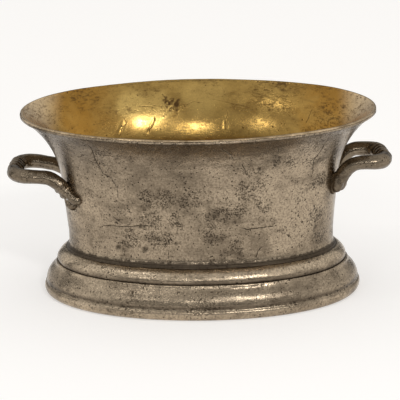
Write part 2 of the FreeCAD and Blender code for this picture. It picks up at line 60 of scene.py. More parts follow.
# ------------------------------------------------------- numbers of the body
# Lengths in millimetres. Every ring is the waist ellipse pushed out by "out".
HALF_LENGTH = 175.0
HALF_WIDTH = 94.5
WAIST_TOP = 85.0
FLARE_OUT = 6.0
FLARE_HIGH = 155.0
FLARE_RADIUS = 121.4
WALL = 3.5
LINER = 0.9
SEAM = 0.15
# the bowl's casting: its heel on the foot, its floor, and the bend between
SHELL_LOW, HEEL_HIGH, HEEL_OUT, HEEL_RADIUS = 64.0, 72.0, 3.0, 12.2
FLOOR_HIGH, FLOOR_OUT, FLOOR_EDGE = 68.0, -15.5, -19.5
BEND_HIGH, BEND_RADIUS = 80.0, 12.0
WALL_HIGH, RIM_HIGH, BEAD_LOW = 242.0, 245.1, 245.25
# the foot: where its two castings meet, and the collar's neck and core
FOOT_JOINT, NECK_OUT, NECK_HIGH = 43.0, 3.2, 61.6
CORE_IN, CORE_HIGH, CORE_OUT, CORE_RADIUS, CORE_LIFT = -5.0, 55.3, 4.5, 7.3, 5.0
# steps round the oval, and how far the rings on a flat floor shrink
ROUND = 552
FLOOR_RINGS = (0.85, 0.65, 0.4, 0.15)

lean = math.atan2(FLARE_OUT, FLARE_HIGH - WAIST_TOP)
LEAN_COS, LEAN_SIN = math.cos(lean), math.sin(lean)
CENTRE_OUT = FLARE_OUT + FLARE_RADIUS * LEAN_COS
CENTRE_HIGH = FLARE_HIGH - FLARE_RADIUS * LEAN_SIN


# -------------------------------------------------------------------- noise
def _hash(ix, iy, iz, seed):
    """A fixed random number from -1 to 1 for each cell of a grid."""
    h = (ix * 374761393 + iy * 668265263 + iz * 1440662683 + seed * 1013904223)
    h = h & 0xFFFFFFFF
    h = ((h ^ (h >> 13)) * 1274126177) & 0xFFFFFFFF
    h = ((h ^ (h >> 16)) * 2246822519) & 0xFFFFFFFF
    return ((h >> 8) & 0xFFFF) / 32767.5 - 1.0


def noise(points, scale, seed):
    """Smooth value noise from -1 to 1 at an array of points, in millimetres."""
    q = points / scale
    cell = np.floor(q).astype(np.int64)
    f = q - cell
    f = f * f * f * (f * (f * 6 - 15) + 10)
    out = np.zeros(len(points))
    for corner in np.ndindex(2, 2, 2):
        wx, wy, wz = (f[:, k] if corner[k] else 1 - f[:, k] for k in range(3))
        out += wx * wy * wz * _hash(*(cell + corner).T, seed)
    return out


def fbm(points, scale, octaves, seed):
    """Layers of noise, each one half as wide and half as strong as the last."""
    return sum(0.5 ** k * noise(points, scale / 2 ** k, seed + 17 * k)
               for k in range(octaves))


def warp(points):
    """The slow unevenness of a hand-finished casting, shared by every piece."""
    moved = points.copy()
    moved[:, 0] += 0.55 * noise(points, 150.0, 3)
    moved[:, 1] += 0.75 * noise(points, 130.0, 5)
    grow = np.clip((points[:, 2] - 45.0) / 60.0, 0, 1)
    moved[:, 2] += grow * 0.6 * noise(points, 120.0, 9)
    return moved


# --------------------------------------------------------------- oval sweep
def oval_angles(count):
    """Angles that step evenly along the waist ellipse."""
    fine = np.linspace(0, 2 * math.pi, 20001)
    dx = -HALF_LENGTH * np.sin(fine)
    dy = HALF_WIDTH * np.cos(fine)
    run = np.concatenate([[0], np.cumsum(np.hypot(dx, dy)[:-1] * (fine[1] - fine[0]))])
    even = np.linspace(0, run[-1], count, endpoint=False)
    return np.interp(even, run, fine)


def arc(start, end, radius, side, step=1.5):
    """Points of an arc from start up to, not including, end."""
    start, end = np.array(start, float), np.array(end, float)
    chord = end - start
    length = np.linalg.norm(chord)
    left = np.array([-chord[1], chord[0]]) / length
    inner = math.sqrt(max(radius ** 2 - (length / 2) ** 2, 0))
    centre = (start + end) / 2 - left * side * inner
    a0 = math.atan2(*(start - centre)[::-1])
    a1 = math.atan2(*(end - centre)[::-1])
    turn = (a1 - a0 + math.pi) % (2 * math.pi) - math.pi
    count = max(2, int(abs(turn) * radius / step))
    angles = a0 + turn * np.arange(count) / count
    return [(centre[0] + radius * math.cos(a), centre[1] + radius * math.sin(a))
            for a in angles]


def line(start, end, step=1.5):
    """Points of a straight run from start up to, not including, end."""
    length = math.hypot(end[0] - start[0], end[1] - start[1])
    count = max(1, int(length / step))
    return [(start[0] + (end[0] - start[0]) * k / count,
             start[1] + (end[1] - start[1]) * k / count) for k in range(count)]


def bent(stops):
    """Straight runs between stops: (out, high, step on the way to the next)."""
    return [point for (a, b, step), (c, d, _) in zip(stops, stops[1:])
            for point in line((a, b), (c, d), step)]


def flare_out(depth, high):
    """Offset of the flare from the waist, at a depth under its outside face."""
    return CENTRE_OUT - math.sqrt((FLARE_RADIUS + depth) ** 2 - (high - CENTRE_HIGH) ** 2)


def wall_run(depth, low, high, step=1.5):
    """The wall's section at a depth under its outside face, from low to high."""
    knee = (-depth, WAIST_TOP + depth * LEAN_SIN / (1 + LEAN_COS))
    start = (FLARE_OUT - depth * LEAN_COS, FLARE_HIGH + depth * LEAN_SIN)
    end = (flare_out(depth, high), high)
    return (line((-depth, low), knee, step) + line(knee, start, step)
            + arc(start, end, FLARE_RADIUS + depth, 1, step) + [end])


def wall_out(high):
    """Offset of the outside face from the waist at an array of heights."""
    high = np.asarray(high, float)
    slope = (high - WAIST_TOP) * LEAN_SIN / LEAN_COS
    up = np.clip(high - CENTRE_HIGH, 0, FLARE_RADIUS * 0.99)
    bend = CENTRE_OUT - np.sqrt(FLARE_RADIUS ** 2 - up ** 2)
    return np.where(high < WAIST_TOP, 0.0, np.where(high < FLARE_HIGH, slope, bend))


def outward(angles):
    """The waist ellipse's level unit normal at an array of angles."""
    nx, ny = HALF_WIDTH * np.cos(angles), HALF_LENGTH * np.sin(angles)
    size = np.hypot(nx, ny)
    return nx / size, ny / size


def place(angles, out, high, shrink=1.0):
    """Points of one ring, in millimetres."""
    nx, ny = outward(angles)
    x = (HALF_LENGTH * np.cos(angles) + out * nx) * shrink
    y = (HALF_WIDTH * np.sin(angles) + out * ny) * shrink
    return np.stack([x, y, np.full(len(angles), high)], 1)


def mesh_object(name, points, faces, material):
    mesh = bpy.data.meshes.new(name)
    mesh.from_pydata((points * MM).tolist(), [], faces)
    mesh.update()
    mesh.shade_smooth()
    piece = bpy.data.objects.new(name, mesh)
    bpy.context.scene.collection.objects.link(piece)
    mesh.materials.append(material)
    return piece


def set_attribute(piece, name, values):
    attribute = piece.data.attributes.new(name, "FLOAT", "POINT")
    attribute.data.foreach_set("value", np.asarray(values, np.float32))


def ring_faces(a, b, count):
    """Quads between two rings of points that start at numbers a and b."""
    step = np.arange(count)
    nxt = (step + 1) % count
    return np.stack([a + step, a + nxt, b + nxt, b + step], 1).tolist()


def swept(name, section, material, closed, uneven, grime_and_shade):
    """A piece swept round the oval. section is [(out, high)] in order; an open
    section starts and ends on flat floors, which are closed to the middle.
    uneven(points, row) gives each point's push along its normal."""
    section = np.array(section, float)
    rows, angles = len(section), oval_angles(ROUND)
    step = np.arange(ROUND)
    nxt = (step + 1) % ROUND
    ahead, behind = np.roll(section, -1, 0), np.roll(section, 1, 0)
    if not closed:
        ahead[-1], behind[0] = section[-1], section[0]
    tangent = ahead - behind
    tangent /= np.maximum(np.linalg.norm(tangent, axis=1), 1e-9)[:, None]
    nx, ny = outward(angles)
    points = np.concatenate([place(angles, *stop) for stop in section])
    normals = np.concatenate([np.stack([nx * up, ny * up, np.full(ROUND, -out)], 1)
                              for out, up in tangent])
    row_of = np.repeat(np.arange(rows), ROUND)
    points = points + normals * uneven(points, row_of)[:, None]
    tints = np.repeat(np.array(grime_and_shade, float), ROUND)
    faces = []
    for k in range(rows if closed else rows - 1):
        faces += ring_faces(k * ROUND, ((k + 1) % rows) * ROUND, ROUND)
    floors = () if closed else ((0, 1), (rows - 1, -1))
    for row, order in floors:
        before = row * ROUND
        for shrink in FLOOR_RINGS:
            base = len(points)
            points = np.vstack([points, place(angles, *section[row], shrink)])
            quads = np.stack([before + step, base + step, base + nxt, before + nxt], 1)
            faces += quads[:, ::order].tolist()
            before = base
        hub = np.full(ROUND, len(points))
        points = np.vstack([points, [[0.0, 0.0, section[row][1]]]])
        faces += np.stack([before + step, hub, before + nxt], 1)[:, ::order].tolist()
        tints = np.append(tints, np.full(len(points) - len(tints), grime_and_shade[row]))
    piece = mesh_object(name, warp(points), faces, material)
    set_attribute(piece, "grime_and_shade", tints)
    return piece


# ---------------------------------------------------------------- materials
class Nodes:
    """Short calls for building the node tree of a material or the world."""

    def __init__(self, owner, coordinates="Object"):
        owner.use_nodes = True
        self.owner, self.tree = owner, owner.node_tree
        self.place = self.add("ShaderNodeTexCoord").outputs[coordinates]

    def add(self, kind, **settings):
        node = self.tree.nodes.new(kind)
        for key, value in settings.items():
            setattr(node, key, value)
        return node

    def plug(self, value, socket):
        if isinstance(value, bpy.types.NodeSocket):
            self.tree.links.new(value, socket)
        else:
            socket.default_value = value

    def stretch(self, *scale):
        node = self.add("ShaderNodeMapping")
        node.inputs["Scale"].default_value = scale
        self.plug(self.place, node.inputs["Vector"])
        return node.outputs["Vector"]

    def noise(self, scale, detail, rough, where=None, distort=0.0):
        node = self.add("ShaderNodeTexNoise")
        self.plug(where or self.place, node.inputs["Vector"])
        for key, number in (("Scale", scale), ("Detail", detail),
                            ("Roughness", rough), ("Distortion", distort)):
            node.inputs[key].default_value = number
        return node.outputs["Fac"]

    def fit(self, value, low, high, to_low=0.0, to_high=1.0):
        """A soft step from to_low at low to to_high at high."""
        node = self.add("ShaderNodeMapRange", interpolation_type="SMOOTHSTEP")
        self.plug(value, node.inputs["Value"])
        for key, number in (("From Min", low), ("From Max", high),
                            ("To Min", to_low), ("To Max", to_high)):
            node.inputs[key].default_value = number
        return node.outputs["Result"]

    def math(self, kind, a, b=0.0, clamp=False):
        node = self.add("ShaderNodeMath", operation=kind, use_clamp=clamp)
        self.plug(a, node.inputs[0])
        self.plug(b, node.inputs[1])
        return node.outputs[0]

    def times(self, a, b, clamp=False):
        return self.math("MULTIPLY", a, b, clamp)

    def plus(self, a, b, clamp=False):
        return self.math("ADD", a, b, clamp)

    def minus(self, a, b, clamp=False):
        return self.math("SUBTRACT", a, b, clamp)

    def most(self, *values):
        found = values[0]
        for value in values[1:]:
            found = self.math("MAXIMUM", found, value)
        return found

    def mix(self, amount, a, b):
        """From colour a to colour b; a colour is (red, green, blue) or a socket."""
        node = self.add("ShaderNodeMix", data_type="RGBA")
        self.plug(amount, node.inputs[0])
        for colour, socket in ((a, node.inputs[6]), (b, node.inputs[7])):
            self.plug((*colour, 1) if isinstance(colour, tuple) else colour, socket)
        return node.outputs[2]

    def attribute(self, name):
        return self.add("ShaderNodeAttribute", attribute_name=name).outputs["Fac"]

    def split(self):
        node = self.add("ShaderNodeSeparateXYZ")
        self.plug(self.place, node.inputs[0])
        return node.outputs[0], node.outputs[1], node.outputs[2]

    def shaken(self, scale, reach):
        """The object's own place, jittered by a small noise."""
        blur = self.add("ShaderNodeTexNoise")
        self.plug(self.place, blur.inputs["Vector"])
        blur.inputs["Scale"].default_value = scale
        blur.inputs["Detail"].default_value = 3.0
        centred = self.add("ShaderNodeVectorMath", operation="SUBTRACT")
        self.plug(blur.outputs["Color"], centred.inputs[0])
        centred.inputs[1].default_value = (0.5, 0.5, 0.5)
        moved = self.add("ShaderNodeVectorMath", operation="MULTIPLY_ADD")
        self.plug(centred.outputs["Vector"], moved.inputs[0])
        moved.inputs[1].default_value = (2 * reach, 2 * reach, 2 * reach)
        self.plug(self.place, moved.inputs[2])
        return moved.outputs["Vector"]

    def pits(self, scale, size, density, where):
        """Round spots, one per cell where that cell's random number is low."""
        node = self.add("ShaderNodeTexVoronoi", feature="F1")
        self.plug(where, node.inputs["Vector"])
        node.inputs["Scale"].default_value = scale
        random = self.add("ShaderNodeSeparateColor")
        self.plug(node.outputs["Color"], random.inputs[0])
        here = self.math("LESS_THAN", random.outputs[0], density)
        grown = self.times(self.plus(random.outputs[1], 0.45), size)
        inside = self.minus(1.0, self.math("DIVIDE", node.outputs["Distance"], grown),
                            clamp=True)
        return self.times(here, self.fit(inside, 0.0, 0.35))

    def cracks(self, width_mm):
        """Thin wandering lines where the signed distance to a crack is zero."""
        jitter = self.times(self.minus(self.noise(420.0, 3.0, 0.6), 0.5), 1.6)
        away = self.math("ABSOLUTE", self.plus(self.attribute("crack"), jitter))
        thin = self.fit(away, width_mm, width_mm * 0.3)
        thin = self.times(thin, self.attribute("crack_near"))
        return self.times(thin, self.fit(self.noise(240.0, 3.0, 0.6), 0.36, 0.50, 0.25, 1.0))

    def bump(self, height, depth_mm, normal=None):
        node = self.add("ShaderNodeBump")
        node.inputs["Distance"].default_value = depth_mm * MM
        self.plug(height, node.inputs["Height"])
        if normal is not None:
            self.plug(normal, node.inputs["Normal"])
        return node.outputs["Normal"]

    def finish(self, colour, rough, normal, metallic=1.0):
        shader = self.tree.nodes["Principled BSDF"]
        for key, value in (("Base Color", colour), ("Roughness", rough),
                           ("Metallic", metallic), ("Normal", normal)):
            self.plug(value, shader.inputs[key])
        return self.owner


# Marks: x, y, z, radius, strength. On the outside, pitted patches, single dark
# spots and brighter metal, partly clean and partly painted light; in the gold, a
# star-shaped scar and painted highlights.
PIT_MARKS = (
    (-39, -98, 154, 17, 1.0), (-58, -95, 153, 15, 0.8), (-14, -100, 150, 15, 0.9),
    (5, -100, 149, 12, 0.6), (-59, -92, 126, 17, 0.75), (-27, -97, 126, 15, 0.7),
    (36, -96, 132, 15, 1.0), (55, -94, 135, 14, 1.0), (21, -97, 122, 13, 0.9),
    (68, -93, 158, 20, 0.9), (60, -97, 172, 13, 0.7), (83, -88, 143, 15, 0.6),
    (103, -97, 201, 11, 1.0), (121, -88, 198, 11, 0.7), (113, -107, 221, 9, 0.7),
    (155, -53, 161, 13, 1.0), (152, -50, 116, 18, 0.95), (157, -41, 86, 18, 0.8),
    (-47, -92, 98, 20, 0.8), (-86, -83, 95, 18, 0.9), (-118, -107, 223, 12, 0.6),
    (-124, -88, 200, 13, 0.5), (17, -95, 99, 17, 0.5), (54, -90, 85, 16, 0.6),
    (-98, -83, 136, 16, 0.35), (95, 92, 150, 24, 0.9), (10, 98, 120, 28, 0.8),
    (-90, 88, 170, 22, 0.8), (-165, 35, 110, 20, 0.9), (-40, 100, 190, 18, 0.7),
    (150, 60, 90, 20, 0.8), (-130, 70, 90, 18, 0.7),
)
BLOBS = (
    (-67, -90, 116, 4.2, 1.0), (-72, -88, 116, 3.2, 0.9), (105, -101, 209, 3.4, 1.0),
    (82, -100, 195, 3.2, 1.0), (84, -99, 197, 2.6, 1.0), (119, -95, 208, 2.8, 0.7),
    (-103, -76, 83, 5.0, 0.9), (-96, -78, 80, 4.0, 0.7), (-67, -87, 84, 5.5, 0.9),
    (-74, -85, 88, 4.0, 0.8), (-28, -94, 94, 4.5, 0.8), (-22, -95, 95, 3.5, 0.6),
    (151, -50, 100, 4.0, 0.8), (149, -51, 96, 3.0, 0.6), (162, -45, 157, 3.6, 0.8),
    (140, -63, 154, 3.0, 0.6), (49, -94, 122, 4.0, 0.6), (60, 100, 160, 4.0, 0.9),
    (-120, 75, 120, 4.5, 0.8),
)
CLEAN_AND_SHEEN = (
    (112, -76, 125, 26, 1.0), (118, -70, 96, 26, 1.0), (131, -69, 149, 22, 1.0),
    (19, -111, 197, 26, 0.35), (5, -98, 133, 10, 0.5), (140, -80, 190, 24, 1.0),
    (99, -78, 92, 20, 0.8), (-138, -63, 136, 24, 0.5), (-154, -49, 118, 22, 0.6),
    (100, -95, 180, 18, 0.6), (175, -40, 175, 22, 0.8), (60, 95, 90, 30, 0.8),
    (-60, 95, 140, 30, 0.7), (150, -58, 140, 26, 1.0), (95, -92, 150, 24, 0.6),
    (140, -66, 108, 26, 1.0), (165, -45, 185, 20, 1.0),
)
# Dark lines: points on each crack.
SILVER_CRACKS = (
    ((-130, -108, 229), (-126, -90, 205), (-118, -84, 185), (-108, -86, 178),
     (-100, -85, 166), (-100, -84, 155)),
    ((36, -134, 231), (44, -125, 222), (47, -120, 215)),
    ((60, -108, 201), (64, -102, 190)),
    ((167, -80, 224), (161, -76, 215), (153, -72, 203), (148, -69, 192), (147, -63, 177)),
    ((80, -84, 82), (76, -85, 74)),
    ((-119, -70, 111), (-91, -83, 114), (-67, -90, 116), (-58, -91, 117)),
    ((60, -91, 112), (95, -81, 112)),
    ((-108, -80, 125), (-99, -82, 120)),
    ((60, 112, 215), (52, 101, 180), (40, 98, 168)),
)
GOLD_CRACKS = (
    ((-104, 95, 207), (-101, 93, 199), (-108, 87, 194), (-110, 83, 186)),
    ((-65, 104, 203), (-67, 99, 195), (-71, 96, 189), (-72, 94, 185)),
    ((35, 112, 209), (33, 105, 197), (32, 102, 187)),
    ((-53, 125, 231), (-45, 119, 223), (-34, 117, 219)),
    ((-45, 119, 222), (-49, 111, 208)), ((-36, 117, 219), (-35, 111, 207)),
    ((-38, 120, 223), (-26, 118, 219)),
    ((-92, 110, 218), (-60, 115, 219), (-26, 118, 220), (-5, 119, 221)),
    ((14, 121, 225), (45, 116, 219), (62, 113, 216)),
    ((152, 85, 222), (143, 76, 204)),
)
STAR = ((-47, 119, 220, 7.0, 1.4), (-35, 118, 219, 7.0, 1.4), (-50, 122, 225, 5.0, 1.2),
        (-33, 121, 223, 5.0, 1.2), (-48, 115, 214, 5.5, 1.2), (-34, 114, 212, 5.0, 1.2),
        (-41, 122, 225, 5.5, 1.2), (-41, 114, 213, 6.0, 1.3))
GOLD_GLOW = ((-92, 108, 222, 34, 1.0), (-60, 112, 220, 30, 0.7), (0, 120, 230, 40, 0.5))


# Colours of the silver: bright and tarnished metal, grain, painted shade, dirt with painted shade,
# pits.
SILVER_BRIGHT, SILVER_DULL = (0.450, 0.360, 0.255), (0.102, 0.078, 0.054)
SILVER_GRAIN, SILVER_SHADE = (0.10, 0.074, 0.050), (0.060, 0.046, 0.033)
SILVER_DIRT_SHADE, SILVER_PIT = (0.048, 0.036, 0.025), (0.030, 0.022, 0.015)
# Colours of the gold, and of the metal laid bare along its rim.
GOLD_BRIGHT, GOLD_DULL = (0.44, 0.280, 0.082), (0.25, 0.150, 0.042)
GOLD_AMBER, GOLD_STREAK = (0.34, 0.165, 0.026), (0.19, 0.112, 0.034)
GOLD_SHINE, GOLD_PALE_SHEEN = (0.86, 0.60, 0.20), (0.92, 0.70, 0.44)
GOLD_GRAIN, GOLD_SPECK = (0.13, 0.075, 0.026), (0.085, 0.045, 0.016)
GOLD_DIRT = (0.045, 0.030, 0.018)
BARE_BRIGHT, BARE_DULL = (0.62, 0.47, 0.30), (0.30, 0.22, 0.13)
STEEL_BRIGHT, STEEL_DULL = (0.56, 0.55, 0.52), (0.34, 0.32, 0.28)
RUBBER_BLACK, RUBBER_DUST = (0.022, 0.021, 0.020), (0.07, 0.065, 0.06)


def silver_material(name, lit_tone=1.0):
    """Aged silver, made lighter or darker by a factor on its metal colours: painted light on the
    foot, painted shade with darker tarnish on the handles.
    """
    n = Nodes(bpy.data.materials.new(name))
    cloud = n.noise(11.0, 5.0, 0.6, distort=0.6)
    blotch = n.noise(45.0, 7.0, 0.68)
    streak = n.noise(1.0, 6.0, 0.66, n.stretch(15.0, 15.0, 95.0))
    grain = n.noise(430.0, 4.0, 0.75)
    grime_and_shade = n.attribute("grime_and_shade")
    worn = n.noise(170.0, 5.0, 0.72)
    rough_place = n.shaken(900.0, 0.0009)
    patch = n.times(n.fit(n.noise(26.0, 5.0, 0.65), 0.48, 0.70), 0.42)
    patch = n.most(patch, n.attribute("patch"))
    # tarnish: brown over pewter, in clouds, blotches and level streaks
    tarnish = n.plus(n.fit(cloud, 0.36, 0.66, 0.0, 0.36), n.fit(blotch, 0.38, 0.66, 0.0, 0.34))
    tarnish = n.plus(tarnish, n.fit(streak, 0.48, 0.72, 0.0, 0.34))
    tarnish = n.plus(tarnish, n.times(patch, 0.16))
    # less tarnish, so brighter metal, where the metal is clean and where painted light is laid on
    tarnish = n.minus(tarnish, n.times(n.attribute("clean_and_sheen"), 0.55), clamp=True)
    bright, dull = (tuple(lit_tone * part for part in shade) for shade in (SILVER_BRIGHT, SILVER_DULL))
    colour = n.mix(tarnish, bright, dull)
    # fine grain, then pits and crumbled spots, thickest in the patches
    salt = n.fit(grain, 0.44, 0.60)
    colour = n.mix(n.times(salt, 0.54), colour, SILVER_GRAIN)
    tiny = n.pits(430.0, 0.42, n.plus(n.times(patch, 0.62), 0.13), rough_place)
    small = n.pits(240.0, 0.34, n.plus(n.times(patch, 0.55), 0.03), rough_place)
    crumbled = n.times(n.fit(grain, 0.535, 0.60, 0.0, 0.8), n.fit(patch, 0.10, 0.60))
    pits = n.times(n.most(small, crumbled, n.times(tiny, 0.9)), n.fit(worn, 0.36, 0.56, 0.35, 1.0))
    spots = n.times(n.attribute("blob"), n.fit(worn, 0.34, 0.50))
    pits = n.most(spots, n.cracks(0.75), pits)
    # dirt and painted shade in hollows, with a crumbling edge, where the attribute written on each
    # piece says
    crumbs = n.times(n.minus(worn, 0.5), 2.4)
    dirt_and_shade = n.times(n.fit(n.plus(grime_and_shade, crumbs), 0.22, 0.62), n.fit(grime_and_shade, 0.0, 0.12))
    colour = n.mix(n.attribute("shade"), colour, SILVER_SHADE)
    colour = n.mix(n.times(dirt_and_shade, 0.86), colour, SILVER_DIRT_SHADE)
    colour = n.mix(n.times(pits, 0.88), colour, SILVER_PIT)
    rough = n.plus(n.times(tarnish, 0.14), 0.165)
    rough = n.plus(rough, n.times(n.most(pits, dirt_and_shade), 0.25), clamp=True)
    normal = n.bump(n.minus(blotch, n.times(pits, 1.1)), 0.5)
    normal = n.bump(n.minus(grain, n.times(salt, 0.5)), 0.10, normal)
    return n.finish(colour, rough, normal)


def gold_material(name):
    """Worn gold over bare metal, paler at both ends of the oval, partly worn and partly a painted
    reflection.
    """
    n = Nodes(bpy.data.materials.new(name))
    x, _, z = n.split()
    cloud = n.noise(12.0, 5.0, 0.6, distort=0.8)
    blotch = n.noise(40.0, 7.0, 0.68)
    streak = n.noise(1.0, 6.0, 0.66, n.stretch(13.0, 13.0, 120.0))
    grain = n.noise(600.0, 4.0, 0.72)
    worn = n.noise(210.0, 5.0, 0.75)
    rough_place = n.shaken(800.0, 0.0010)
    reach = n.math("ABSOLUTE", x)
    amber = n.times(n.fit(reach, 0.096, 0.158), n.fit(reach, 0.222, 0.186))
    amber = n.times(amber, n.fit(cloud, 0.34, 0.60, 0.30, 1.0))
    ends = n.times(n.fit(reach, 0.180, 0.224), n.fit(z, 0.19, 0.235, 0.35, 1.0))
    colour = n.mix(n.fit(blotch, 0.36, 0.68), GOLD_BRIGHT, GOLD_DULL)
    colour = n.mix(n.times(amber, 0.78), colour, GOLD_AMBER)
    colour = n.mix(n.fit(streak, 0.54, 0.74, 0.0, 0.5), colour, GOLD_STREAK)
    # painted highlight: brighter gold where the marks say
    colour = n.mix(n.times(n.attribute("clean_and_sheen"), 0.55), colour, GOLD_SHINE)
    # paler gold at both ends: partly wear and partly painted reflection
    colour = n.mix(n.times(ends, 0.92), colour, GOLD_PALE_SHEEN)
    colour = n.mix(n.fit(grain, 0.50, 0.68, 0.0, 0.30), colour, GOLD_GRAIN)
    # brown specks and smears: along the rim, in a level band, and by the ends
    low_band = n.times(n.fit(z, 0.207, 0.215), n.fit(z, 0.227, 0.219))
    band = n.most(n.fit(z, 0.218, 0.240), n.times(low_band, 0.75),
                  n.fit(reach, 0.110, 0.150, 0.0, 0.8))
    band = n.times(band, n.fit(n.noise(20.0, 5.0, 0.65), 0.40, 0.62))
    band = n.plus(band, 0.17)
    smear = n.noise(1.0, 6.0, 0.78, n.stretch(120.0, 120.0, 330.0))
    specks = n.times(n.fit(smear, 0.49, 0.61), band, clamp=True)
    tiny = n.pits(520.0, 0.34, n.times(band, 0.50), rough_place)
    small = n.pits(250.0, 0.26, n.times(band, 0.30), rough_place)
    star = n.times(n.attribute("blob"), n.fit(worn, 0.38, 0.48))
    specks = n.most(specks, n.times(tiny, 0.8), small, star, n.cracks(0.8))
    colour = n.mix(n.times(specks, 0.80), colour, GOLD_SPECK)
    # the worn rim and the dirt under its bead
    metal = n.mix(n.fit(blotch, 0.40, 0.68), BARE_BRIGHT, BARE_DULL)
    bared = n.times(n.attribute("bare"), n.fit(worn, 0.30, 0.46, 0.75, 1.0), clamp=True)
    colour = n.mix(bared, colour, metal)
    dirt_and_shade = n.times(n.attribute("grime_and_shade"), n.fit(worn, 0.44, 0.58))
    colour = n.mix(n.times(dirt_and_shade, 0.85), colour, GOLD_DIRT)
    rough = n.plus(n.fit(blotch, 0.3, 0.7, 0.0, 0.08), 0.17)
    rough = n.plus(rough, n.times(specks, 0.3), clamp=True)
    normal = n.bump(n.minus(blotch, n.times(specks, 0.6)), 0.15)
    return n.finish(colour, rough, n.bump(grain, 0.05, normal))


def steel_material():
    n = Nodes(bpy.data.materials.new("fixing_steel"))
    rub = n.noise(1.0, 5.0, 0.6, n.stretch(400.0, 400.0, 2400.0))
    stain = n.noise(160.0, 4.0, 0.6)
    colour = n.mix(n.fit(stain, 0.4, 0.7), STEEL_BRIGHT, STEEL_DULL)
    return n.finish(colour, n.fit(rub, 0.3, 0.7, 0.26, 0.46), n.bump(rub, 0.02))


def rubber_material():
    n = Nodes(bpy.data.materials.new("seal_rubber"))
    dust = n.noise(300.0, 6.0, 0.7)
    colour = n.mix(n.fit(dust, 0.45, 0.75), RUBBER_BLACK, RUBBER_DUST)
    return n.finish(colour, n.fit(dust, 0.3, 0.7, 0.62, 0.82), n.bump(dust, 0.04), 0.0)


# one silver in three copies: the foot's lighter as painted light, the handles' darker as painted
# shade with darker tarnish
SILVER = silver_material("aged_silver_cast")
SILVER_FOOT_LIT = silver_material("aged_silver_foot_lit", 1.22)
SILVER_HANDLE_SHADED = silver_material("aged_silver_handle_shaded", 0.60)
GOLD = gold_material("aged_gold")


# ------------------------------------------------------------- mesh helpers
def nearest_turn(x, y):
    """The waist ellipse's angle nearest to each point."""
    turn = np.arctan2(y / HALF_WIDTH, x / HALF_LENGTH)
    for _ in range(12):
        ex, ey = HALF_LENGTH * np.cos(turn), HALF_WIDTH * np.sin(turn)
        dx, dy = -HALF_LENGTH * np.sin(turn), HALF_WIDTH * np.cos(turn)
        miss = (x - ex) * dx + (y - ey) * dy
        slope = -(dx * dx + dy * dy) - (x - ex) * ex - (y - ey) * ey
        turn = turn - miss / slope
    return turn


def waist_gap(points):
    """How far each point lies outside the waist ellipse, and the way out."""
    turn = nearest_turn(points[:, 0], points[:, 1])
    nx, ny = outward(turn)
    gap = ((points[:, 0] - HALF_LENGTH * np.cos(turn)) * nx
           + (points[:, 1] - HALF_WIDTH * np.sin(turn)) * ny)
    return gap, nx, ny


def neighbours_mean(points, edges, weight):
    total = np.stack([
        np.bincount(edges[:, 0], points[edges[:, 1], axis], len(points))
        + np.bincount(edges[:, 1], points[edges[:, 0], axis], len(points))
        for axis in range(3)], 1)
    return total / weight[:, None]


def read_mesh(mesh):
    """A mesh's points and normals, in metres, and its edges."""
    points = np.empty(len(mesh.vertices) * 3, np.float32)
    mesh.vertices.foreach_get("co", points)
    normals = np.empty(len(mesh.vertices) * 3, np.float32)
    mesh.vertices.foreach_get("normal", normals)
    edges = np.empty(len(mesh.edges) * 2, np.int32)
    mesh.edges.foreach_get("vertices", edges)
    return (points.reshape(-1, 3).astype(float), normals.reshape(-1, 3).astype(float),
            edges.reshape(-1, 2))


def hollowness(piece, rounds):
    """How far each point lies under the smoothed surface, in millimetres."""
    points, normals, edges = read_mesh(piece.data)
    weight = np.maximum(np.bincount(edges.ravel(), minlength=len(points)), 1)
    smooth = points
    for _ in range(rounds):
        smooth = 0.4 * smooth + 0.6 * neighbours_mean(smooth, edges, weight)
    return np.einsum("ij,ij->i", smooth - points, normals) / MM


def smooth_path(points, step=1.0):
    """Catmull-Rom spline through the points, sampled about every step."""
    points = np.array(points, float)
    padded = np.vstack([2 * points[0] - points[1], points, 2 * points[-1] - points[-2]])
    found = []
    for p0, p1, p2, p3 in zip(padded, padded[1:], padded[2:], padded[3:]):
        count = max(2, int(np.linalg.norm(p2 - p1) / step))
        t = (np.arange(count) / count)[:, None]
        found.append(0.5 * (2 * p1 + (p2 - p0) * t + (2 * p0 - 5 * p1 + 4 * p2 - p3) * t ** 2
                            + (3 * p1 - p0 - 3 * p2 + p3) * t ** 3))
    found.append(points[-1:])
    return np.vstack(found)


def spread(points, marks, scale, reach, seed):
    """1 inside any of the round marks, fading to 0 at their uneven edges."""
    moved = points + reach * np.stack(
        [fbm(points, scale, 3, seed + 100 * axis) for axis in range(3)], 1)
    total = np.zeros(len(points))
    for x, y, z, radius, weight in marks:
        gap = np.linalg.norm(moved - np.array([x, y, z]), axis=1)
        t = np.clip((radius - gap) / (0.65 * radius), 0, 1)
        total = np.maximum(total, weight * t * t * (3 - 2 * t))
    return total


def from_segment(points, a, b):
    """Each point's offset from the nearest point of the segment from a to b."""
    a, b = np.array(a, float), np.array(b, float)
    run = b - a
    t = np.clip((points - a) @ run / (run @ run), 0, 1)
    return points - (a + t[:, None] * run), unit(run)


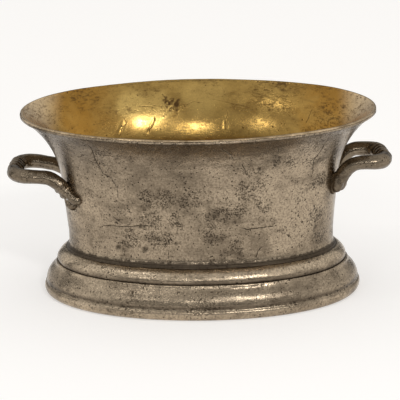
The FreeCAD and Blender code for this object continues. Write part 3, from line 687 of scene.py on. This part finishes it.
def crack_field(points, paths):
    """Signed distance to the nearest crack, and how near it is."""
    moved = points + 1.4 * np.stack(
        [noise(points, 11.0, 301 + axis) + 0.5 * noise(points, 5.0, 311 + axis)
         for axis in range(3)], 1)
    level = points * np.array([1 / HALF_LENGTH ** 2, 1 / HALF_WIDTH ** 2, 0.0])
    level /= np.maximum(np.linalg.norm(level, axis=1), 1e-12)[:, None]
    nearest = np.full(len(points), 1e9)
    signed = np.full(len(points), 8.0)
    for path in paths:
        for a, b in zip(path, path[1:]):
            gap, way = from_segment(moved, a, b)
            far = np.linalg.norm(gap, axis=1)
            across = np.einsum("ij,ij->i", gap, np.cross(way, level))
            closer = far < nearest
            nearest = np.where(closer, far, nearest)
            signed = np.where(closer, across, signed)
    return np.clip(signed, -8, 8), np.clip((3.4 - nearest) / 1.6, 0, 1)


def mark(piece, patches, clean_and_sheen, blobs, paths):
    """Write the marks on a piece as the attributes that its material reads."""
    points = read_mesh(piece.data)[0] / MM
    for name, marks, scale, reach, seed in (
            ("patch", patches, 22.0, 6.0, 201), ("clean_and_sheen", clean_and_sheen, 30.0, 8.0, 211),
            ("blob", blobs, 6.0, 1.5, 221)):
        set_attribute(piece, name, spread(points, marks, scale, reach, seed))
    signed, near = crack_field(points, paths)
    set_attribute(piece, "crack", signed)
    set_attribute(piece, "crack_near", near)


def dent(points, marks):
    """Local swellings (positive) and hollows: x, y, z, radius, height."""
    push = np.zeros(len(points))
    for x, y, z, radius, height in marks:
        gap = np.sum((points - np.array([x, y, z])) ** 2, axis=1)
        push += height * np.exp(-gap / (2 * (radius / 2) ** 2))
    return push


def scratch(points, path, width, depth, seed):
    """A cracked line: distance to a wandering polyline, cut into the surface
    with a raised edge beside it."""
    moved = points.copy()
    moved[:, 0] += 2.2 * noise(points, 9.0, seed) + 0.8 * noise(points, 3.5, seed + 1)
    moved[:, 2] += 1.6 * noise(points, 8.0, seed + 2)
    push = np.zeros(len(points))
    for a, b in zip(path, path[1:]):
        gap = np.linalg.norm(from_segment(moved, a, b)[0], axis=1)
        push = np.minimum(push, -depth * np.exp(-(gap / width) ** 2))
        edge = 0.35 * depth * np.exp(-((gap - 2.6 * width) / width) ** 2)
        push = np.where(push > -0.02 * depth, push + edge, push)
    return push


def unit(vector):
    return vector / np.linalg.norm(vector)


# --------------------------------------------------------------- bowl shell
# Cracks cut in the surface: points, width, depth, seed.
SHELL_CRACKS = (
    ([(-127, -102, 222), (-119, -91, 201), (-107, -86, 180), (-100, -84, 157)], 0.9, 0.7, 31),
    ([(36, -138, 234), (44, -128, 225), (50, -119, 214)], 0.9, 0.6, 37),
    ([(171, -85, 231), (158, -74, 210), (152, -66, 188), (150, -62, 168)], 0.8, 0.45, 41),
    ([(76, -85, 84), (79, -85, 77), (76, -86, 70)], 0.9, 0.6, 43),
    ([(60, 112, 215), (52, 101, 180), (40, 98, 168)], 0.8, 0.5, 47),
)
# Swellings and dents: x, y, z, radius, height.
SHELL_SWELLS = (
    (-74, -95, 173, 5.0, 0.5), (-57, -100, 178, 6.5, 0.55), (-62, -98, 176, 3.0, -0.4),
    (84, -107, 208, 4.5, -0.5), (70, -101, 195, 3.5, -0.45), (-80, -90, 118, 4.0, -0.3),
    (-159, -46, 134, 26.0, 1.0), (172, -30, 146, 24.0, 1.0),
    (-159, 46, 134, 26.0, 1.0), (172, 30, 146, 24.0, 1.0),
    (0, -97, 110, 60.0, -0.5), (95, -85, 120, 55.0, 0.45), (-100, -82, 150, 50.0, -0.4),
)

outer = (arc((HEEL_OUT, SHELL_LOW), (0.0, HEEL_HIGH), HEEL_RADIUS, 1)
         + wall_run(0.0, HEEL_HIGH, WALL_HIGH))
lip = [(55.6, WALL_HIGH), (56.15, 242.6), (56.2, 243.4), (56.2, 244.3), (55.9, 244.9),
       (55.2, RIM_HIGH)]
inner = wall_run(WALL, BEND_HIGH, RIM_HIGH, 6.0)[::-1]
corner = arc((-WALL, BEND_HIGH), (FLOOR_OUT, FLOOR_HIGH), BEND_RADIUS, 1, 4.0)
shell_section = ([(FLOOR_EDGE, SHELL_LOW)] + outer + lip + inner + corner
                 + [(FLOOR_OUT, FLOOR_HIGH), (FLOOR_EDGE, FLOOR_HIGH)])
last_outer = len(outer)
last_lip = last_outer + len(lip)


def shell_uneven(points, row):
    outside = (row >= 1) & (row <= last_outer)
    on_lip = (row > last_outer) & (row <= last_lip)
    slow = 0.30 * noise(points, 70.0, 11) + 0.16 * noise(points, 34.0, 12)
    quick = 0.07 * fbm(points, 13.0, 3, 13) + 0.03 * noise(points, 3.2, 14)
    push = slow + quick + dent(points, SHELL_SWELLS)
    for path, width, depth, seed in SHELL_CRACKS:
        push += scratch(points, path, width, depth, seed)
    fade = np.clip((points[:, 2] - SHELL_LOW) / 6.0, 0, 1)
    edge = 0.28 * fbm(points, 22.0, 4, 15) + 0.1 * noise(points, 4.0, 16)
    return np.where(outside, push * fade, np.where(on_lip, edge, 0.0))


# painted shade with dirt in the cove over the foot, and a little painted shade under the lip
shell_dirt_and_shade = [max(min(1.0, max(0.0, 1.1 - (high - SHELL_LOW) / 4.6)),
                   0.45 * max(0.0, 1.0 - abs(high - 241.0) / 3.0))
               for out, high in shell_section]
shell = swept("bowl_shell_cast", shell_section, SILVER, False, shell_uneven, shell_dirt_and_shade)
mark(shell, PIT_MARKS, CLEAN_AND_SHEEN, BLOBS, SILVER_CRACKS)

# -------------------------------------------------------------------- liner
back = WALL + SEAM
face = back + LINER
liner_low = FLOOR_HIGH + SEAM
liner_floor = liner_low + LINER
liner_back = wall_run(back, BEND_HIGH, BEAD_LOW, 8.0)
liner_face = wall_run(face, BEND_HIGH, BEAD_LOW, 1.7)[::-1]
bead = arc((56.0, BEAD_LOW), liner_face[0], 2.52, -1, 0.6)
bend_back = arc((FLOOR_OUT, liner_low), (-back, BEND_HIGH), BEND_RADIUS - SEAM, -1, 4.0)
bend_face = arc((-face, BEND_HIGH), (FLOOR_OUT, liner_floor), BEND_RADIUS - SEAM - LINER,
                1, 2.0)
liner_section = ([(FLOOR_EDGE, liner_low)] + bend_back + liner_back + bead + liner_face
                 + bend_face + [(FLOOR_OUT, liner_floor), (FLOOR_EDGE, liner_floor)])
face_from = 1 + len(bend_back) + len(liner_back)
STAR_AT = (-41, 117, 219)

LINER_CRACKS = (
    ([(-104, 93, 206), (-107, 89, 199), (-113, 83, 191)], 1.0, 0.5, 61),
    ([(-64, 104, 203), (-67, 101, 198), (-74, 95, 188)], 1.0, 0.5, 63),
    ([(33, 109, 204), (30, 102, 188)], 0.8, 0.35, 65),
    ([STAR_AT, (-52, 121, 226)], 0.8, 0.45, 67),
    ([STAR_AT, (-48, 112, 210)], 0.8, 0.45, 69),
    ([STAR_AT, (-28, 119, 220)], 0.8, 0.45, 71),
    ([STAR_AT, (-37, 110, 207)], 0.8, 0.45, 73),
)


def liner_uneven(points, row):
    inside = row >= face_from
    push = 0.28 * noise(points, 62.0, 21) + 0.13 * noise(points, 30.0, 22)
    push += 0.05 * fbm(points, 12.0, 3, 23)
    push += dent(points, ((*STAR_AT, 8.0, -0.6), (*STAR_AT, 16.0, 0.5)))
    for path, width, depth, seed in LINER_CRACKS:
        push += scratch(points, path, width, depth, seed)
    return np.where(inside, np.clip(push, -0.55, 1.4), 0.0)


liner_grime = [0.75 * max(0.0, 1.0 - abs(high - 245.2) / 0.9) if out > 50 else 0.0
               for out, high in liner_section]
liner = swept("bowl_liner_gilt", liner_section, GOLD, False, liner_uneven, liner_grime)
mark(liner, (), GOLD_GLOW, STAR, GOLD_CRACKS)
liner_points = read_mesh(liner.data)[0] / MM
rim_out = waist_gap(liner_points)[0]
edge_wave = 0.7 * noise(liner_points, 14.0, 27) + 0.4 * noise(liner_points, 5.0, 28)
set_attribute(liner, "bare", np.clip((rim_out - 53.6 + edge_wave) / 0.8, 0, 1))

# --------------------------------------------------------------------- foot
# The collar's ring in section: an ellipse below its widest point, and a leaner
# superellipse above.
RING_OUT, RING_HIGH, RING_WIDE, RING_UP, RING_DOWN = 4.5, 47.4, 12.5, 13.0, 14.0
RING_BEND = 1.45
RING_STEPS = 32

ring_low = -math.asin((RING_HIGH - FOOT_JOINT) / RING_DOWN)
ring_face = []
for k in range(RING_STEPS + 1):
    turn = ring_low + (math.pi / 2 - ring_low) * k / RING_STEPS
    if turn < 0:
        wide, lift = math.cos(turn), RING_DOWN * math.sin(turn)
    else:
        wide = max(math.cos(turn), 0.0) ** (2 / RING_BEND)
        lift = RING_UP * math.sin(turn) ** (2 / RING_BEND)
    ring_face.append((RING_OUT + RING_WIDE * wide, RING_HIGH + lift))
core_low = (CORE_OUT + math.sqrt(CORE_RADIUS ** 2 - CORE_LIFT ** 2), FOOT_JOINT)
collar_face = ring_face + bent(((3.9, 60.6, 0.8), (NECK_OUT, NECK_HIGH, 0.8),
                                (NECK_OUT, SHELL_LOW, 0)))
collar_section = (
    collar_face
    + bent(((NECK_OUT, SHELL_LOW, 4.0), (CORE_IN, SHELL_LOW, 6.0), (CORE_IN, CORE_HIGH, 4.0),
            (CORE_OUT, CORE_HIGH, 0)))
    + arc((CORE_OUT, CORE_HIGH), core_low, CORE_RADIUS, 1, 4.0)
    + line(core_low, ring_face[0], 3.0))


def foot_uneven(points, row):
    push = 0.40 * noise(points, 48.0, 51) + 0.20 * noise(points, 21.0, 52)
    push += 0.10 * fbm(points, 9.0, 3, 53) + 0.03 * noise(points, 2.8, 54)
    return push


def collar_uneven(points, row):
    outside = row < len(collar_face)
    flat = (points[:, 2] < FOOT_JOINT + 0.6) | (points[:, 2] > 62.5)
    return np.where(outside & ~flat, foot_uneven(points, row), 0.0)


def shade_hollows(piece, hollows):
    """Soft darkening about some heights: (height, reach up and down, strength)."""
    points = read_mesh(piece.data)[0] / MM
    high = points[:, 2] + 0.8 * noise(points, 26.0, 59)
    shade = np.zeros(len(high))
    for middle, reach, strength in hollows:
        shade = np.maximum(shade, strength * np.clip(1 - np.abs(high - middle) / reach, 0, 1))
    set_attribute(piece, "shade", shade)


# painted shade with dirt in the joint under the ring and in the cove over it
collar_dirt_and_shade = [min(1.0, max(0.50 - (high - FOOT_JOINT) / 5.0, high - 59.8, 0.0))
                for out, high in collar_section]
collar = swept("foot_collar_cast", collar_section, SILVER_FOOT_LIT, True, collar_uneven,
               collar_dirt_and_shade)
shade_hollows(collar, ((FOOT_JOINT, 7.0, 0.95), (62.0, 1.4, 0.7)))
collar_high = read_mesh(collar.data)[0][:, 2] / MM
# painted highlight: brighter, less tarnished metal on the ring's upper face
set_attribute(collar, "clean_and_sheen", np.clip(1.3 - np.abs(collar_high - 56.0) / 5.0, 0, 1))

# The plinth's face from its top edge down: ridge, shoulder, crease and bead.
CREASE_HIGH = 15.9
PLINTH_FACE = ((12.0, 43.0), (16.8, 43.0), (18.0, 42.6), (18.8, 41.4), (19.5, 39.6),
               (21.4, 37.0), (24.2, 34.2), (27.2, 30.7), (29.8, 26.4), (31.5, 22.0),
               (32.1, 18.8), (31.5, 16.0), (32.3, 13.8), (34.1, 12.2), (35.0, 9.6),
               (34.7, 5.8), (33.2, 2.6), (30.9, 0.6), (28.4, 0.0))
face_path = smooth_path([(out, high, 0.0) for out, high in PLINTH_FACE], 0.8)
plinth_face = [(out, min(max(high, 0.0), FOOT_JOINT)) for out, high, _ in face_path.tolist()]
plinth_section = (
    plinth_face
    + bent(((27.4, 0.0, 2.0), (23.5, 0.0, 3.0), (28.5, 6.0, 5.0), (28.5, 20.0, 0)))
    + arc((28.5, 20.0), (20.5, 28.0), 8.0, -1, 4.0)
    + bent(((20.5, 28.0, 4.0), (15.0, 31.0, 5.0), (15.0, 39.0, 10.0), (-26.0, 39.0, 4.0),
            (-26.0, FOOT_JOINT, 10.0), (12.0, FOOT_JOINT, 0))))


def plinth_uneven(points, row):
    shown = (row > 5) & (row < len(plinth_face)) & (points[:, 2] > 0.6)
    push = foot_uneven(points, row)
    ridge = np.exp(-((points[:, 2] - 41.5) / 2.2) ** 2)
    push += ridge * (0.55 * noise(points, 30.0, 55) + 0.35 * noise(points, 9.0, 56))
    hollow = np.exp(-((points[:, 2] - CREASE_HIGH) / 2.6) ** 2)
    push += hollow * (-0.2 + 0.3 * noise(points, 26.0, 57) + 0.15 * noise(points, 7.0, 58))
    fade = np.clip(points[:, 2] / 4.0, 0, 1)
    return np.where(shown, push * fade, 0.0)


# painted shade with dirt in the crease, and a little on the joint with the collar
plinth_dirt_and_shade = []
for out, high in plinth_section:
    crease = max(0.0, 1.0 - abs(high - CREASE_HIGH) / 2.2) * (1.0 if out > 30 else 0.0)
    joint = 0.6 if out < 16.5 and high > 42.5 else 0.0
    plinth_dirt_and_shade.append(min(1.0, max(0.40 * crease, joint)))
plinth = swept("foot_plinth_cast", plinth_section, SILVER_FOOT_LIT, True, plinth_uneven,
               plinth_dirt_and_shade)
shade_hollows(plinth, ((17.4, 5.5, 0.78), (28.0, 10.0, 0.20)))

# ------------------------------------------------------------------ handles
# Centre lines: (outwards, across, height), from beside the grip to the toe.
HANDLES = {
    "left": dict(
        side=-1,
        front=[(241.4, 14.0, 167.2), (237.6, 26.5, 167.0), (227.5, 33.8, 166.8),
               (215.0, 35.6, 166.5), (203.0, 36.2, 165.8), (192.5, 37.2, 164.4),
               (180.6, 39.2, 157.4), (168.6, 42.0, 145.4), (157.6, 47.0, 132.4)],
        back=[(241.2, 14.0, 167.6), (237.4, 26.0, 167.6), (227.5, 33.5, 167.1),
              (215.5, 35.5, 165.8), (204.0, 36.5, 163.4), (193.0, 38.0, 160.4),
              (180.8, 40.2, 153.4), (168.6, 42.6, 143.4), (157.6, 47.0, 132.4)],
        grip=(240.6, 167.4)),
    "right": dict(
        side=1,
        front=[(240.8, 12.0, 180.0), (238.9, 22.5, 179.8), (229.5, 29.6, 180.0),
               (217.0, 31.0, 180.2), (205.5, 31.0, 179.0), (196.5, 30.5, 174.8),
               (188.5, 29.5, 166.0), (183.5, 28.2, 156.0), (180.0, 27.5, 146.5)],
        back=[(236.8, 12.0, 180.6), (233.6, 22.0, 180.8), (225.0, 29.0, 180.5),
              (214.0, 31.0, 180.3), (204.0, 31.0, 179.7), (195.5, 30.5, 176.0),
              (188.5, 29.5, 168.0), (183.5, 28.2, 157.0), (180.0, 27.5, 146.5)],
        grip=(238.4, 180.2)),
}
# An even number of reeds round the grip; their pitch, place and inner edge.
REEDS = 4
REED_STEP = 8.4
REED_SHIFT = 4.0
GRIP_FROM = 222.0
# Each toe's leaf tip (turn in degrees, height) and how far its lobes splay.
TOES = {
    "left": dict(tip=(26.0, 133.5), splay=0.42),
    "right": dict(tip=(15.5, 143.0), splay=0.12),
}
LEAF_RADII = {"left": (16.0, 9.0, 6.2), "right": (15.0, 7.4, 6.0)}
LOBE_RADII = {"left": (12.5, 7.2, 8.8), "right": (14.0, 5.6, 8.0)}
GROOVE_TOP = {"left": 26.0, "right": 30.0}
SEAT_DEPTH = 1.1
TUBE_SIDES = 72
BALL_RINGS, BALL_SIDES = 28, 40
# The bar's radius at distances from the middle of the grip, and at its ends.
BAR_AT = (0, 13, 17, 24, 36, 60, 85, 105)
BAR_RADII = (9.0, 9.2, 9.7, 10.0, 9.6, 9.0, 9.2, 9.0, 7.0)
GROOVE_RADIUS, REED_HEIGHT = 7.4, 3.2
HANDLE_VOXEL = 0.6
# Small cast bumps on the legs: reach up the leg, (sideways, outwards), radii.
TOE_BUMPS = {
    "left": [(20.0, (-7.5, 4.0), (4.5, 3.0, 3.2)), (29.0, (-7.0, 6.0), (4.0, 2.6, 3.0)),
             (12.0, (-8.5, 2.5), (3.8, 2.6, 3.0)), (3.0, (-5.5, 0.5), (4.0, 2.4, 3.0)),
             (-3.0, (3.5, -0.5), (5.0, 2.6, 3.2)), (14.0, (8.0, 2.0), (6.0, 2.4, 3.2)),
             (26.0, (7.5, 4.0), (4.0, 2.2, 2.8))],
    "right": [(24.0, (-6.5, 4.5), (4.0, 2.4, 2.8)), (17.0, (7.0, 4.0), (3.8, 2.4, 2.8)),
              (3.0, (5.5, 2.5), (4.5, 2.8, 4.0)), (3.0, (-5.5, 2.5), (4.5, 2.8, 4.0)),
              (31.0, (1.0, 7.0), (5.0, 4.0, 3.0))],
}


def carried_frames(path, start, up):
    """Normals carried along the path without twist, from one of its points."""
    tangent = np.gradient(path, axis=0)
    tangent /= np.linalg.norm(tangent, axis=1)[:, None]
    normals = np.zeros_like(path)
    for order in (range(start, len(path)), range(start, -1, -1)):
        normal = np.array(up, float)
        for k in order:
            normal = normal - tangent[k] * (normal @ tangent[k])
            normal /= np.linalg.norm(normal)
            normals[k] = normal
    return tangent, normals


def capped(rings, first, last):
    """A closed skin over a row of rings, with one point at either end."""
    sides = len(rings[0])
    points = np.vstack(list(rings) + [[first], [last]])
    faces = []
    for k in range(len(rings) - 1):
        faces += ring_faces(k * sides, (k + 1) * sides, sides)
    hub, end = len(points) - 2, (len(rings) - 1) * sides
    for j in range(sides):
        nxt = (j + 1) % sides
        faces += [[hub, nxt, j], [hub + 1, end + j, end + nxt]]
    return points, faces


def tube(path, tangent, normals, radius_at):
    """A closed tube; radius_at(k, turns) gives one ring's radii."""
    turns = np.linspace(0, 2 * math.pi, TUBE_SIDES, endpoint=False)
    rings = []
    for k, centre in enumerate(path):
        side = np.cross(tangent[k], normals[k])
        radii = radius_at(k, turns)[:, None]
        rings.append(centre + radii * (np.cos(turns)[:, None] * normals[k]
                                       + np.sin(turns)[:, None] * side))
    return capped(rings, path[0], path[-1])


def ellipsoid(centre, axes, radii):
    """A closed ellipsoid with its three radii along the three axes."""
    turns = np.linspace(0, 2 * math.pi, BALL_SIDES, endpoint=False)
    stretch = np.array(radii)[:, None] * np.array(axes)
    rings = [centre + np.stack([math.cos(a) * np.cos(turns), math.cos(a) * np.sin(turns),
                                np.full(BALL_SIDES, math.sin(a))], 1) @ stretch
             for a in np.linspace(-math.pi / 2, math.pi / 2, BALL_RINGS + 2)[1:-1]]
    return capped(rings, centre - stretch[2], centre + stretch[2])


def clear_of_wall(points, keep):
    """Push points out to the outside wall, less a seat depth. Also says how far
    from the wall each point was."""
    gap, nx, ny = waist_gap(points)
    gap = gap - wall_out(points[:, 2])
    push = np.maximum(keep - gap, 0)
    moved = points.copy()
    moved[:, 0] += push * nx
    moved[:, 1] += push * ny
    return moved, gap


def wall_spot(side, across, turn_deg, high):
    """A point on the outside wall and the wall's normal there."""
    turn = np.array([math.radians(turn_deg)])
    spot = place(turn, float(wall_out(high)), high)[0]
    nx, ny = outward(turn)
    normal = np.array([nx[0], ny[0], 0.0])
    flip = np.array([side, across, 1.0])
    return spot * flip, normal * flip * LEAN_COS - np.array([0, 0, LEAN_SIN])


def handle_parts(name, plan):
    """The solids that are fused into one handle: the bar and its leafy toes."""
    side = plan["side"]
    front = [np.array([side * out, -across, high]) for out, across, high in plan["front"]]
    back = [np.array([side * out, across, high]) for out, across, high in plan["back"]]
    grip = np.array([side * plan["grip"][0], 0.0, plan["grip"][1]])
    path = smooth_path(front[::-1] + [grip] + back)
    middle = int(np.argmin(np.linalg.norm(path - grip, axis=1)))
    tangent, normals = carried_frames(path, middle, (0, 0, 1))
    run = np.concatenate([[0], np.cumsum(np.linalg.norm(np.diff(path, axis=0), axis=1))])
    run = run - run[middle]
    ends = max(-run[0], run[-1])

    def radius_at(k, turns):
        far = abs(run[k])
        twist = run[k] - REED_SHIFT + 1.6 * np.sin(turns + 0.6)
        reach = np.clip((REEDS * REED_STEP / 2 + 0.6 - np.abs(twist)) / 1.5, 0, 1)
        reed = np.abs(np.sin(math.pi * twist / REED_STEP))
        plain = np.interp(far, (*BAR_AT, ends), BAR_RADII)
        grooved = GROOVE_RADIUS + REED_HEIGHT * reed ** 0.6
        radii = plain * (1 - reach) + grooved * reach
        return radii * (1 + 0.03 * np.cos(4 * turns) + 0.015 * np.cos(turns * 2 + far / 14))

    solids = [tube(path, tangent, normals, radius_at)]
    for across, leg in ((-1, front), (1, back)):
        toe = leg[-1]
        tip, normal = wall_spot(side, across, *TOES[name]["tip"])
        along = unit(leg[-2] - toe)
        aside = unit(np.cross(normal, along))
        lay = unit(np.cross(aside, normal))
        solids.append(ellipsoid(tip + along * 9.0, (lay, aside, normal), LEAF_RADII[name]))
        for turn in (-1, 1):
            centre = toe + along * 8.0 + aside * (turn * 5.4)
            heading = along - aside * (turn * TOES[name]["splay"])
            cross = unit(np.cross(normal, heading))
            lie = unit(np.cross(cross, normal))
            solids.append(ellipsoid(centre, (lie, cross, normal), LOBE_RADII[name]))
        for reach, shift, size in TOE_BUMPS[name]:
            centre = toe + along * reach + aside * (shift[0] * across) + normal * shift[1]
            solids.append(ellipsoid(centre, (lay, aside, normal), size))
    return solids, side, front, back


def fused(name, solids, voxel, material):
    """Fuse overlapping closed solids into one even skin."""
    points, faces, base = [], [], 0
    for some_points, some_faces in solids:
        points.append(some_points)
        faces += [[base + k for k in face] for face in some_faces]
        base += len(some_points)
    piece = mesh_object(name, np.vstack(points), faces, material)
    remesh = piece.modifiers.new("skin", "REMESH")
    remesh.mode = "VOXEL"
    remesh.voxel_size = voxel * MM
    depsgraph = bpy.context.evaluated_depsgraph_get()
    mesh = bpy.data.meshes.new_from_object(piece.evaluated_get(depsgraph))
    old = piece.data
    piece.modifiers.clear()
    piece.data = mesh
    bpy.data.meshes.remove(old)
    mesh.name = name
    mesh.materials.clear()
    mesh.materials.append(material)
    return piece


def make_handle(name, plan):
    """One handle, fused, roughened, seated on the wall and marked with dirt and painted shade."""
    solids, side, front, back = handle_parts(name, plan)
    piece = fused("handle_%s_cast" % name, solids, HANDLE_VOXEL, SILVER_HANDLE_SHADED)
    mesh = piece.data
    points, normals, edges = read_mesh(mesh)
    weight = np.maximum(np.bincount(edges.ravel(), minlength=len(points)), 1)
    for _ in range(3):
        points = 0.45 * points + 0.55 * neighbours_mean(points, edges, weight)
    points = points / MM
    # groove down the middle of each toe, and cast roughness
    push = 0.16 * noise(points, 16.0, 81) + 0.10 * noise(points, 6.5, 82)
    push += 0.05 * fbm(points, 3.4, 2, 83)
    for across, leg in ((-1, front), (1, back)):
        toe, knee = leg[-1], leg[-3]
        tip, normal = wall_spot(side, across, *TOES[name]["tip"])
        along = unit(leg[-2] - toe)
        aside = unit(np.cross(normal, along))
        local = points - toe
        reach = local @ along
        off = local @ aside + 1.2 * noise(points, 9.0, 84)
        inside = np.clip((reach + 10) / 6, 0, 1) * np.clip((GROOVE_TOP[name] - reach) / 10, 0, 1)
        near = np.exp(-((local - np.outer(reach, along)) ** 2).sum(1) / 20.0 ** 2)
        push -= 1.5 * inside * near * np.exp(-(off / 1.7) ** 2)
        chip = np.clip(noise(points, 4.5, 85) - 0.15, 0, 1)
        push += 0.9 * inside * near * chip
    points = points + normals * push[:, None]
    points, gap = clear_of_wall(points, -SEAT_DEPTH)
    points = warp(points)
    mesh.vertices.foreach_set("co", (points * MM).astype(np.float32).ravel())
    mesh.update()
    mesh.shade_smooth()
    # painted shade with dirt in the hollows, and a painted contact shadow where the handle sits on
    # the wall
    hollow = hollowness(piece, 14)
    seat = np.clip(1.0 - gap / 1.3, 0, 1)
    seat = np.where(np.abs(points[:, 1]) > 15.0, seat, 0.0)
    dirt_and_shade = np.maximum(np.clip(hollow * 2.2, 0, 0.8), seat)
    along = points[:, 1] - REED_SHIFT
    within = np.clip((REEDS * REED_STEP / 2 + 1.2 - np.abs(along)) / 1.5, 0, 1)
    within *= np.abs(points[:, 0]) > GRIP_FROM
    # painted shade in the grooves between the reeds, and painted highlights on their tops
    groove = np.abs(np.cos(math.pi * along / REED_STEP)) ** 10
    set_attribute(piece, "grime_and_shade", np.maximum(dirt_and_shade, 0.5 * within * groove))
    set_attribute(piece, "shade", 0.6 * within * groove)
    set_attribute(piece, "clean_and_sheen", 1.6 * within * (1 - groove))
    return piece


handles = [make_handle(name, plan) for name, plan in HANDLES.items()]

# --------------------------------------------------------- frame bookkeeping
PIECES = (
    (shell, "bowl_shell", "aged_silver"),
    (liner, "bowl_liner", "aged_gold"),
    (collar, "foot_collar", "aged_silver"),
    (plinth, "foot_plinth", "aged_silver"),
    (handles[0], "handle_left", "aged_silver"),
    (handles[1], "handle_right", "aged_silver"),
)
for piece, node, slot in PIECES:
    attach(piece, "root")
    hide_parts(node)

# the screws, washers and seals keep their CAD shape
STEEL = steel_material()
RUBBER = rubber_material()
for node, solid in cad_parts.items():
    if "_seal_" in node or "_screw_" in node or "_washer_" in node:
        fixing = RUBBER if "_seal_" in node else STEEL
        if not solid.material_slots:
            solid.data.materials.append(fixing)
        for material_slot in solid.material_slots:
            material_slot.material = fixing

# ---------------------------------------------------------- floor and lights
# Lengths from here on are in metres.
FLOOR_REACH = 6.0
PAPER_COLOUR, PAPER_GLOW, PAPER_STRENGTH = (0.70, 0.689, 0.678), (1.0, 0.985, 0.968, 1), 0.40
CARD_HIGH, CARD_SHADE = 0.5, 0.01


def flat_panel(name, corners, material):
    mesh = bpy.data.meshes.new(name)
    mesh.from_pydata(corners, [], [[0, 1, 2, 3]])
    panel = bpy.data.objects.new(name, mesh)
    bpy.context.scene.collection.objects.link(panel)
    mesh.materials.append(material)
    return panel


def plain_material(name, colour, rough):
    material = bpy.data.materials.new(name)
    material.use_nodes = True
    shader = material.node_tree.nodes["Principled BSDF"]
    shader.inputs["Base Color"].default_value = (*colour, 1)
    shader.inputs["Roughness"].default_value = rough
    shader.inputs["Specular IOR Level"].default_value = 0.1
    return material


PAPER = plain_material("paper", PAPER_COLOUR, 0.95)
paper_shader = PAPER.node_tree.nodes["Principled BSDF"]
paper_shader.inputs["Emission Color"].default_value = PAPER_GLOW
paper_shader.inputs["Emission Strength"].default_value = PAPER_STRENGTH
flat_panel("floor", [(x * FLOOR_REACH, y * FLOOR_REACH, 0)
                     for x, y in ((-1, -1), (1, -1), (1, 1), (-1, 1))], PAPER)


def dark_card(name, ax, ay, bx, by):
    """A dark upright card over the floor line from a to b, beside the object and
    seen only in reflections."""
    card = flat_panel(name, [(ax, ay, 0.0), (bx, by, 0.0), (bx, by, CARD_HIGH),
                             (ax, ay, CARD_HIGH)],
                      plain_material(name, (CARD_SHADE, CARD_SHADE, CARD_SHADE), 1.0))
    card.visible_camera = False
    card.visible_diffuse = False
    card.visible_shadow = False


for card in (("card_left", -0.62, -0.02, -0.62, 0.075),
             ("card_left_back", -0.48, 0.40, -0.42, 0.46),
             ("card_right", 0.62, 0.045, 0.62, 0.075),
             ("card_right_back", 0.48, 0.40, 0.42, 0.46)):
    dark_card(*card)


LIGHT_FAR = 6.0
LIGHT_AIM = (0.0, 0.0, 0.2)


def soft_light(name, turn, lift, width, glow):
    """A square light far off: degrees right of the front, degrees up, degrees
    wide, and how brightly its face glows."""
    turn, lift = math.radians(turn), math.radians(lift)
    way = Vector((math.sin(turn) * math.cos(lift), -math.cos(turn) * math.cos(lift),
                  math.sin(lift)))
    data = bpy.data.lights.new(name, "AREA")
    data.shape = "SQUARE"
    data.size = 2 * LIGHT_FAR * math.tan(math.radians(width) / 2)
    data.energy = glow * math.pi * data.size ** 2
    lamp = bpy.data.objects.new(name, data)
    bpy.context.scene.collection.objects.link(lamp)
    lamp.location = Vector(LIGHT_AIM) + way * LIGHT_FAR
    lamp.rotation_euler = (-way).to_track_quat("-Z", "Y").to_euler()


for light in (("light_right", 26.0, 36.0, 7.0, 37.0), ("light_middle", 0.0, 27.0, 6.5, 13.0),
              ("light_left", -33.5, 33.0, 6.5, 9.0), ("light_high_left", -52.0, 58.0, 5.0, 9.0)):
    soft_light(*light)

# a sky that is brighter overhead and to both sides, dim at the front and back
SKY_BASE, SKY_UP, SKY_SIDE = 0.26, 0.50, 0.80
world = bpy.data.worlds.new("studio")
bpy.context.scene.world = world
sky = Nodes(world, "Generated")
sideways, _, upwards = sky.split()
upwards = sky.most(upwards, 0.0)
strength = sky.times(sky.times(upwards, upwards), SKY_UP)
strength = sky.plus(strength, sky.times(sky.times(sideways, sideways), SKY_SIDE))
background = sky.tree.nodes["Background"]
sky.plug(sky.plus(strength, SKY_BASE), background.inputs["Strength"])
background.inputs["Color"].default_value = (1.0, 0.99, 0.97, 1)
bpy.context.scene.view_settings.view_transform = "Standard"
